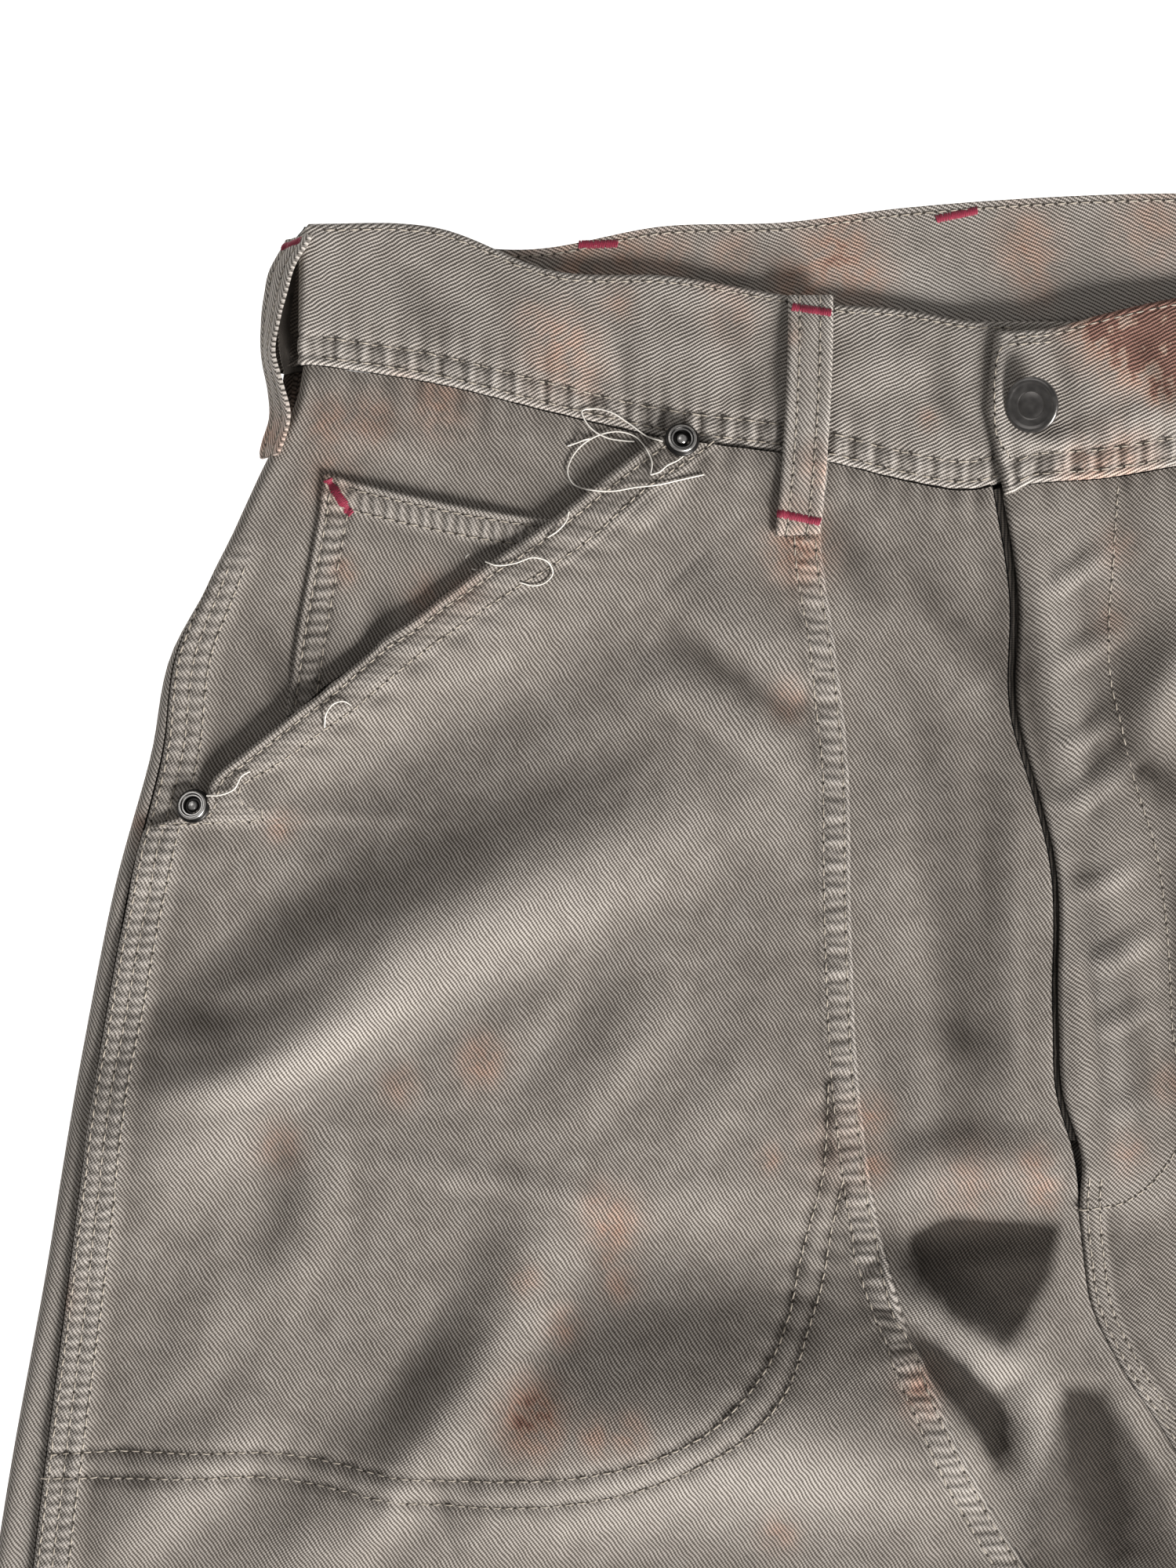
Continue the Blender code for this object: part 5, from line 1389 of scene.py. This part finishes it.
def loop_piece(name, spine, side_of, out, stain_spots, pale_end=0.0):
    """A loop from its middle line, its direction across and its outward direction."""
    along = lengths(spine)
    offsets = places - LOOP_WIDE / 2
    grid = spine[:, None] + side_of[:, None] * offsets[None, :, None]
    from_edge = np.minimum(places, LOOP_WIDE - places)[None] + 0 * along[:, None]
    from_end = np.minimum(along, along[-1] - along)[:, None] + 0 * from_edge
    reach = along[:, None] + 0 * from_edge
    relief = rounded(from_edge, 0.7, 1.1) + thread_rows(places[None], LOOP_ROWS, 0.32, 0.7)
    relief = relief + rounded(from_end, 0.5, 1.0) + 0.22 * uneven(reach, places[None], 7.0, 81)
    face = grid + out[:, None] * relief[..., None]
    under = grid - out[:, None] * LOOP_CLOTH
    ends = 1 - ease((from_end - 1.5) / 3.0)
    wear_and_highlight = 0.30 + 0.8 * bell(from_edge, 1.3) + pale_end * ends
    wear_and_highlight = wear_and_highlight + 0.35 * uneven(reach, places[None], 9.0, 82)
    soil_and_shade = sum(0.25 * bell(places[None] - row, 0.6) for row in LOOP_ROWS) + 0 * reach
    stain = spotted(stain_spots, grid[..., 0], grid[..., 1])
    cloth = weave_map(places[None] + 0 * reach, -reach, -52)
    made = shell(
        name, face, under, 1, cloth, np.stack([reach, from_edge], axis=2),
        (wear_and_highlight, soil_and_shade, stain, 0 * reach), band_canvas,
    )
    for row in LOOP_ROWS:
        line = [[np.interp(row, places, face[i, :, k]) for k in range(3)] for i in range(len(face))]
        threads.append((np.array(line)[1:-1], out[1:-1]))
    return made


laid = tree_of(waistband, panels["front_right"], panels["front_left"],
               panels["doubled_right"], panels["doubled_left"])
for loop in FRONT_LOOPS:
    share = np.linspace(0, 1, LOOP_STEPS)
    x = loop.x_top + (loop.x_low - loop.x_top) * share ** 2
    y = float(loop.high(loop.x_top)) + LOOP_OVER - LOOP_LONG * share
    bow = LOOP_BOW * np.sin(np.pi * np.clip(share / LOOP_BOW_SHARE, 0, 1))
    z = np.array([highest(laid, px, py, LOOP_SHIFTS) for px, py in zip(x, y)])
    z = softened(z[:, None], 2, 0)[:, 0] + 0.5 + bow + LOOP_CLOTH
    spine = np.stack([x, y, z], axis=1)
    heading = np.gradient(spine, axis=0)
    heading /= np.linalg.norm(heading, axis=1, keepdims=True)
    lean = -0.10 * ease((share - 0.6) / 0.4)
    side_of = np.stack([np.ones(LOOP_STEPS), 0.5 * lean - heading[:, 0], 0 * share], axis=1)
    side_of /= np.linalg.norm(side_of, axis=1, keepdims=True)
    out = np.cross(side_of, -heading)
    out = out * np.sign(out[:, 2:3])
    made = loop_piece(loop.node + "_strip", spine, side_of, out, LOOP_SPOTS, 0.9)
    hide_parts(loop.node)
    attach(made, "root")
    panels[loop.node] = made

for loop in BACK_LOOPS:
    share = np.linspace(0, 1, BACK_LOOP_STEPS)
    x = loop.x_top + (loop.x_low - loop.x_top) * share
    y = float(loop.high(loop.x_top)) - LOOP_OVER - (LOOP_LONG - 4.0) * share
    spine = np.stack([x, y, 0 * x + 0.02], axis=1)
    side_of, out = (np.tile(way, (BACK_LOOP_STEPS, 1)) for way in ([-1.0, 0, 0], [0, 0, -1.0]))
    made = loop_piece(loop.node + "_strip", spine, side_of, out, (), 0.6)
    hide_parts(loop.node)
    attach(made, "root")

SideSection = namedtuple("SideSection", "y low_x low_z high_x high_z")
SIDE_LOOP = [SideSection(*row) for row in (
    (21, -218.4, 2.4, -209.6, 12.8), (14, -222.4, 1.6, -213.6, 13.0), (6, -224.0, 1.0, -216.2, 13.0),
    (-2, -225.2, 0.8, -219.0, 13.0), (-11, -225.8, 0.6, -221.0, 13.0), (-21, -223.2, 0.8, -218.2, 12.8),
    (-29, -222.6, 0.8, -215.8, 12.6), (-36, -224.8, 0.6, -217.4, 12.2),
    (-40, -225.4, 0.6, -219.4, 11.8),
)]
for side, flip in (("right", 1), ("left", -1)):
    y = np.linspace(22, -40, 40)
    low, top = (
        np.stack([curve(SIDE_LOOP, "y", edge + "_x")(y), y, curve(SIDE_LOOP, "y", edge + "_z")(y)], axis=1)
        for edge in ("low", "high")
    )
    sway = 0.7 * np.sin(y / 7.5) * bell(y + 6, 26.0)
    low[:, 0] -= sway
    top[:, 0] -= 0.8 * sway
    if flip < 0:
        low[:, 0], top[:, 0] = MIRROR_X - low[:, 0], MIRROR_X - top[:, 0]
    spine = (low + top) / 2
    across_of = (top - low) / np.linalg.norm(top - low, axis=1, keepdims=True)
    heading = np.gradient(spine, axis=0)
    out = np.cross(heading, across_of)
    out /= np.linalg.norm(out, axis=1, keepdims=True)
    out = out * np.sign(-flip * out[:, :1])
    side_dir = across_of if flip > 0 else -across_of
    name = f"belt_loop_side_{side}_strip"
    made = loop_piece(name, spine, side_dir, out, (Spot(-222, -36, 6, 0.8),), 0.8)
    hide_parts(f"belt_loop_side_{side}")
    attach(made, "root")
    panels[f"side_{side}"] = made

# Sewing: grey-beige cotton thread in even stitches, each pulled down into a hole at its ends, coloured dark
# as painted shade.
STITCH_SHOWS = 2.75
THREAD_THICK = 0.46
STITCH_HIGH = 0.34
HOLE_WIDE, HOLE_DEEP = 0.36, 0.10
SEWING_SEED = 9
J_OUTER = [Point(*row) for row in (
    (18.9, -50), (17.8, -66.7), (17.3, -104.4), (20.4, -117.8), (24.4, -133.3), (30.0, -151.1),
    (33.3, -173.3), (34.9, -200.0), (35.6, -238), (21.1, -252.2), (8.8, -254.4),
)]
thread_material, thread_shader, _, _ = tinted(
    "sewing_thread", 60.0, 3.0, (0.26, 0.225, 0.18), (0.50, 0.45, 0.385)
)
thread_shader.inputs["Roughness"].default_value = 0.8
thread_shader.inputs["Sheen Weight"].default_value = 0.2
hole_shade_material, hole_shader, _, _ = tinted(
    "needle_hole", 300.0, 2.0, (0.022, 0.018, 0.014), (0.060, 0.050, 0.040)
)
hole_shader.inputs["Roughness"].default_value = 1.0


def arch(tree, reach, thick, low, peak, steps):
    """A short arch of thread, from one hole to the next."""
    x, y = reach
    route = add(
        tree, "GeometryNodeCurveQuadraticBezier",
        {0: steps, 1: (-x * MM, -y * MM, low * MM), 2: (0, 0, peak * MM), 3: (x * MM, y * MM, low * MM)},
    )
    ring = add(tree, "GeometryNodeCurvePrimitiveCircle", {"Resolution": 4, "Radius": thick * MM / 2})
    made = add(
        tree, "GeometryNodeCurveToMesh",
        {"Curve": route.outputs[0], "Profile Curve": ring.outputs[0], "Fill Caps": True},
    )
    return add(
        tree, "GeometryNodeSetShadeSmooth", {0: made.outputs[0], "Shade Smooth": True}
    ).outputs[0]


def stitch(tree):
    low, peak = -0.9 * STITCH_HIGH, 1.5 * STITCH_HIGH
    return arch(tree, (STITCH_SHOWS / 2, 0), THREAD_THICK, low, peak, 4)


def needle_hole(tree):
    """A dimple between two stitches, where the needle went through, coloured dark as painted shade."""
    ring = add(
        tree, "GeometryNodeMeshCone",
        {"Vertices": 7, "Radius Top": 0.0, "Radius Bottom": HOLE_WIDE * MM, "Depth": HOLE_DEEP * MM},
        fill_type="NONE",
    )
    return add(
        tree, "GeometryNodeTransform",
        {"Geometry": ring.outputs[0], "Translation": (STITCH * MM / 2, 0, HOLE_DEEP * MM),
         "Rotation": (math.pi, 0, 0), "Scale": (1.25, 0.95, 1.0)},
    ).outputs[0]


right_tree = tree_of(panels["doubled_right"])
left_tree = tree_of(panels["front_left"])
left_double_tree = tree_of(panels["doubled_left"])
bag_lines = []
for line in (POCKET_BAG, BAG_OUTER):
    whole = smooth_line(line)
    bag_lines.append(dropped(right_tree, whole))
    bag_lines.append(dropped(left_double_tree, [(MIRROR_X - x, y) for x, y in whole]))
threads += bag_lines
threads.append(dropped(left_tree, smooth_line(J_OUTER)))
kept = [line for line in threads if len(line[0]) > 2]
sewing = set_along("sewing", kept, STITCH, 0.12, SEWING_SEED, thread_material, stitch)
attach(sewing, "root")
holes = set_along("needle_holes", kept, STITCH, 0.0, SEWING_SEED, hole_shade_material, needle_hole)
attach(holes, "root")

# Bar tacks: a close row of crimson thread laid across the ends of every loop and the corner of the
# watch pocket. On the inside of the back band show the tacks of the loops behind it.
TACK_WIDE = 2.5
TACK_STEP = 0.36
TACK_THICK, TACK_HIGH = 0.54, 0.40
Tack = namedtuple("Tack", "x0 y0 x1 y1")
TACKS = [Tack(*row) for row in (
    (-204.6, -47.4, -198.3, -57.0), (-133.6, 20.2, -122.8, 20.6), (-31.8, 27.6, -20.4, 30.0),
    (79.0, 30.6, 90.0, 29.6),
)]
LOOP_TACKS = [Tack(*row) for row in (
    (-73.3, 1.4, -62.7, -0.3), (-77.6, -57.0, -65.8, -59.4), (53.3, 6.6, 63.9, 8.4),
    (56.4, -57.4, 67.6, -56.2),
)]
crimson, crimson_shader, _, _ = tinted(
    "tack_thread", 900.0, 2.0, (0.17, 0.004, 0.022), (0.36, 0.016, 0.062)
)
crimson_shader.inputs["Roughness"].default_value = 0.6
crimson_shader.inputs["Sheen Weight"].default_value = 0.25


def tack_thread(tree):
    """One turn of thread across the row."""
    return arch(tree, (0, TACK_WIDE / 2), TACK_THICK, -0.7 * TACK_HIGH, 1.7 * TACK_HIGH, 5)


def tack_line(tack):
    share = np.linspace(0, 1, 16)
    return np.stack(
        [tack.x0 + (tack.x1 - tack.x0) * share, tack.y0 + (tack.y1 - tack.y0) * share], axis=1
    )


cloth_tree = tree_of(watch, waistband)
loop_tree = tree_of(panels["belt_loop_front_right"], panels["belt_loop_front_left"])
tack_lines = [dropped(cloth_tree, tack_line(tack)) for tack in TACKS]
tack_lines += [dropped(loop_tree, tack_line(tack)) for tack in LOOP_TACKS]
for side, flip in (("right", 1), ("left", -1)):
    on_edge = tree_of(panels[f"side_{side}"])
    ends = [(-218.6, 19.6), (-212.4, 20.6)]
    if flip < 0:
        ends = [(MIRROR_X - x, y) for x, y in ends]
    tack_lines.append(dropped(on_edge, tack_line(Tack(*ends[0], *ends[1]))))
long_enough = [line for line in tack_lines if len(line[0]) > 3]
tacks = set_along("bar_tacks", long_enough, TACK_STEP, 0.22, 4, crimson, tack_thread)
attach(tacks, "root")


def turned(name, profile, sides, place, turn, *materials, second=()):
    """A turned piece from its profile, as radius and height from the bottom of its axis to its top."""
    points, faces = [], []
    rings = []
    for radius, high in profile:
        if radius < 1e-6:
            rings.append([len(points)])
            points.append(Vector((0, 0, high)))
        else:
            rings.append(list(range(len(points), len(points) + sides)))
            for i in range(sides):
                angle = 2 * math.pi * i / sides
                points.append(Vector((radius * math.cos(angle), radius * math.sin(angle), high)))
    for low, top in zip(rings, rings[1:]):
        for i in range(sides):
            j = (i + 1) % sides
            if len(low) == 1:
                faces.append((low[0], top[j], top[i]))
            elif len(top) == 1:
                faces.append((low[i], low[j], top[0]))
            else:
                faces.append((low[i], low[j], top[j], top[i]))
    mesh = bpy.data.meshes.new(name)
    at = Vector((place[0], place[1] - ORIGIN_Y, place[2])) * MM
    mesh.from_pydata([turn @ (point * MM) + at for point in points], [], faces)
    for polygon in mesh.polygons:
        polygon.use_smooth = True
    mesh.set_sharp_from_angle(angle=math.radians(48))
    for material in materials:
        mesh.materials.append(material)
    for polygon in mesh.polygons:
        polygon.material_index = int(polygon.index // sides in second)
    return put(name, mesh)


# Rivets: burred ones of dark plated brass at both ends of each pocket's mouth. A dark skirt is
# pressed into the cloth, with a rolled ring on it round a deep cup and a polished nipple.
RIVETS = ("rivet_right_upper", "rivet_right_lower", "rivet_left_upper", "rivet_left_lower")
RIVET_PROFILE = (
    (0, 0), (4.5, -0.4), (4.9, 0.0), (4.95, 0.4), (4.7, 0.75), (4.3, 0.92), (4.15, 1.05), (4.1, 1.5),
    (3.8, 1.82), (3.4, 1.86), (3.15, 1.66), (3.05, 1.4), (2.85, 1.44), (2.65, 1.36), (2.5, 0.9),
    (2.2, 0.45), (1.8, 0.5), (1.5, 0.95), (1.1, 1.4), (0.6, 1.66), (0, 1.74),
)
bright_metal = metal_material("rivet_metal", (0.42, 0.41, 0.40), (0.62, 0.61, 0.60), 0.20)
black_metal = metal_material("rivet_black", (0.020, 0.019, 0.019), (0.050, 0.048, 0.046), 0.30)
RIVET_BLACK = (0, 1, 2, 3, 4, 5, 6, 9, 10, 13, 14, 15, 16)      # rings of its profile
RIVET_SKIRT, RIVET_LIFT, RIVET_SIDES = 3.4, 0.75, 48
fronts = [piece for name, piece in panels.items() if name.startswith(("front", "doubled"))]
everything = tree_of(waistband, *fronts)


def middle_of(box):
    """The middle of a solid's box, in the photo's millimetres."""
    x, y, z = ((low + high) / 2 / MM for low, high in zip(*box))
    return x, y + ORIGIN_Y, z


for name in RIVETS:
    x, y, _ = middle_of(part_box(name))
    around = [
        landing(everything, x + RIVET_SKIRT * math.cos(a), y + RIVET_SKIRT * math.sin(a))[0]
        for a in np.linspace(0, 2 * math.pi, 9)[:-1]
    ]
    around = np.array([hit for hit in around if hit is not None])
    plane = np.c_[around[:, :2] - (x, y), np.ones(len(around))]
    slopes = np.linalg.lstsq(plane, around[:, 2], rcond=None)[0]
    lean = Vector((-0.6 * slopes[0], -0.6 * slopes[1], 1)).normalized()
    made = turned(
        name + "_burr", RIVET_PROFILE, RIVET_SIDES, (x, y, slopes[2] + RIVET_LIFT),
        lean.to_track_quat("Z", "Y").to_matrix(), bright_metal, black_metal, second=RIVET_BLACK,
    )
    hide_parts(name)
    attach(made, "root")

# Button: a shank button of the same dark metal on the tab. Its plain face is slightly dished inside
# a rolled rim, and it has tipped over towards the wearer's right.
BUTTON_PROFILE = (
    (0, 0), (2.9, 0), (2.6, 1.5), (3.4, 1.75), (6.9, 1.85), (7.55, 2.1), (7.85, 2.6), (7.9, 3.1),
    (7.7, 3.55), (7.3, 3.8), (6.8, 3.86), (6.45, 3.78), (6.2, 3.62), (5.7, 3.55), (4.2, 3.66),
    (3.95, 3.60), (3.75, 3.48), (3.5, 3.60), (2.0, 3.74), (0, 3.78),
)
BUTTON_TILT, BUTTON_FACES, BUTTON_SUNK = math.radians(30), math.radians(200), 1.7
BUTTON_SIDES = 72
x, y, z = middle_of(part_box("button"))
lean = Matrix.Rotation(BUTTON_FACES, 3, "Z") @ Matrix.Rotation(BUTTON_TILT, 3, "Y")
middle = lean @ Vector((0, 0, 2.6))
button = turned(
    "shank_button", BUTTON_PROFILE, BUTTON_SIDES,
    (x - middle.x, y - middle.y, z - BUTTON_SUNK - middle.z), lean, gunmetal,
)
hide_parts("button")
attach(button, "root")

# Loose ends: where the sewing has come undone beside the upper rivet, pale threads curl over the
# band and the pocket's mouth. A few more stick out of the mouth's edge.
LOOSE = (
    ((-110, -36.7), (-113.8, -35.3), (-119.5, -31.3), (-125.1, -28), (-129.1, -27.1), (-132.9, -28),
     (-132.2, -30), (-129.1, -33.6), (-125.8, -35.3), (-120.7, -36.2), (-117.3, -36.4)),
    ((-113.5, -46.2), (-113.1, -42.7), (-114.4, -39.3), (-117.3, -35.3), (-122.4, -33.6),
     (-127.5, -34.4), (-132.7, -37.3), (-136, -41.6), (-136.9, -44.9), (-135.3, -48.4), (-132, -50),
     (-125.1, -50.9), (-117.8, -49.8), (-110.4, -48.9), (-106, -47.8), (-97.8, -45.8)),
    ((-136.9, -37.6), (-132.7, -36.2), (-128.7, -34.9)),
    ((-113.5, -46.2), (-111.3, -45.6), (-108.7, -43.6), (-106, -42.2), (-103.1, -39.8)),
    ((-160.0, -70.6), (-157.6, -71.6), (-152.0, -71.2), (-146.0, -69.6), (-142.2, -71.0),
     (-141.0, -73.8), (-143.0, -76.4), (-146.4, -77.4), (-150.0, -76.6)),
    ((-162.0, -69.0), (-164.2, -68.0), (-165.8, -69.4), (-165.0, -71.8), (-162.6, -73.0)),
    ((-205.6, -117.4), (-205.0, -113.6), (-202.8, -110.6), (-199.8, -110.0), (-197.6, -111.4)),
    ((-239.0, -136.6), (-235.0, -136.4), (-231.0, -134.6), (-229.0, -131.0), (-226.0, -129.4)),
    ((-142.4, -63.8), (-139.6, -62.0), (-137.2, -59.2), (-136.4, -56.0)),
)
LOOSE_THICK, LOOSE_LIFT = 0.46, 1.3
LOOSE_SHIFTS = ((0, 0), (0.9, 0), (-0.9, 0), (0, 0.9), (0, -0.9))
thread_curve = bpy.data.curves.new("loose_ends", "CURVE")
thread_curve.dimensions = "3D"
thread_curve.bevel_depth = LOOSE_THICK * MM / 2
thread_curve.bevel_resolution = 1
thread_curve.use_fill_caps = True
for number, line in enumerate(LOOSE):
    route = smooth_line(line, 0.8)
    low = np.array([highest(everything, x, y, LOOSE_SHIFTS) for x, y in route])
    low = softened(low[:, None], 1, 0)[:, 0] if len(low) > 4 else low
    share = np.linspace(0, 1, len(route))
    lift = 0.35 + LOOSE_LIFT * np.sin(np.pi * share) ** 2 * (0.6 + 0.4 * np.sin(9 * share + number))
    spline = thread_curve.splines.new("POLY")
    spline.points.add(len(route) - 1)
    for point, (x, y), z in zip(spline.points, route, low + lift):
        point.co = (x * MM, (y - ORIGIN_Y) * MM, z * MM, 1)
curve_holder = put("loose_holder", thread_curve)
bpy.context.view_layer.update()
loose_mesh = bpy.data.meshes.new_from_object(
    curve_holder.evaluated_get(bpy.context.evaluated_depsgraph_get())
)
bpy.data.objects.remove(curve_holder)
for polygon in loose_mesh.polygons:
    polygon.use_smooth = True
pale_thread = thread_material.copy()
pale_thread.name = "loose_thread"
for node in pale_thread.node_tree.nodes:
    if node.bl_idname == "ShaderNodeMix":
        node.inputs[6].default_value = (0.62, 0.59, 0.54, 1)
        node.inputs[7].default_value = (0.80, 0.77, 0.72, 1)
loose_mesh.materials.clear()
loose_mesh.materials.append(pale_thread)
loose_ends = put("loose_ends", loose_mesh)
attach(loose_ends, "root")

# Each cloth piece is a sheet that was cut flat. Its cut, as width and length with its area where it
# isn't a rectangle, leaves out the turnings that are folded out of sight.
Cut = namedtuple("Cut", "piece wide long area held rests_on")
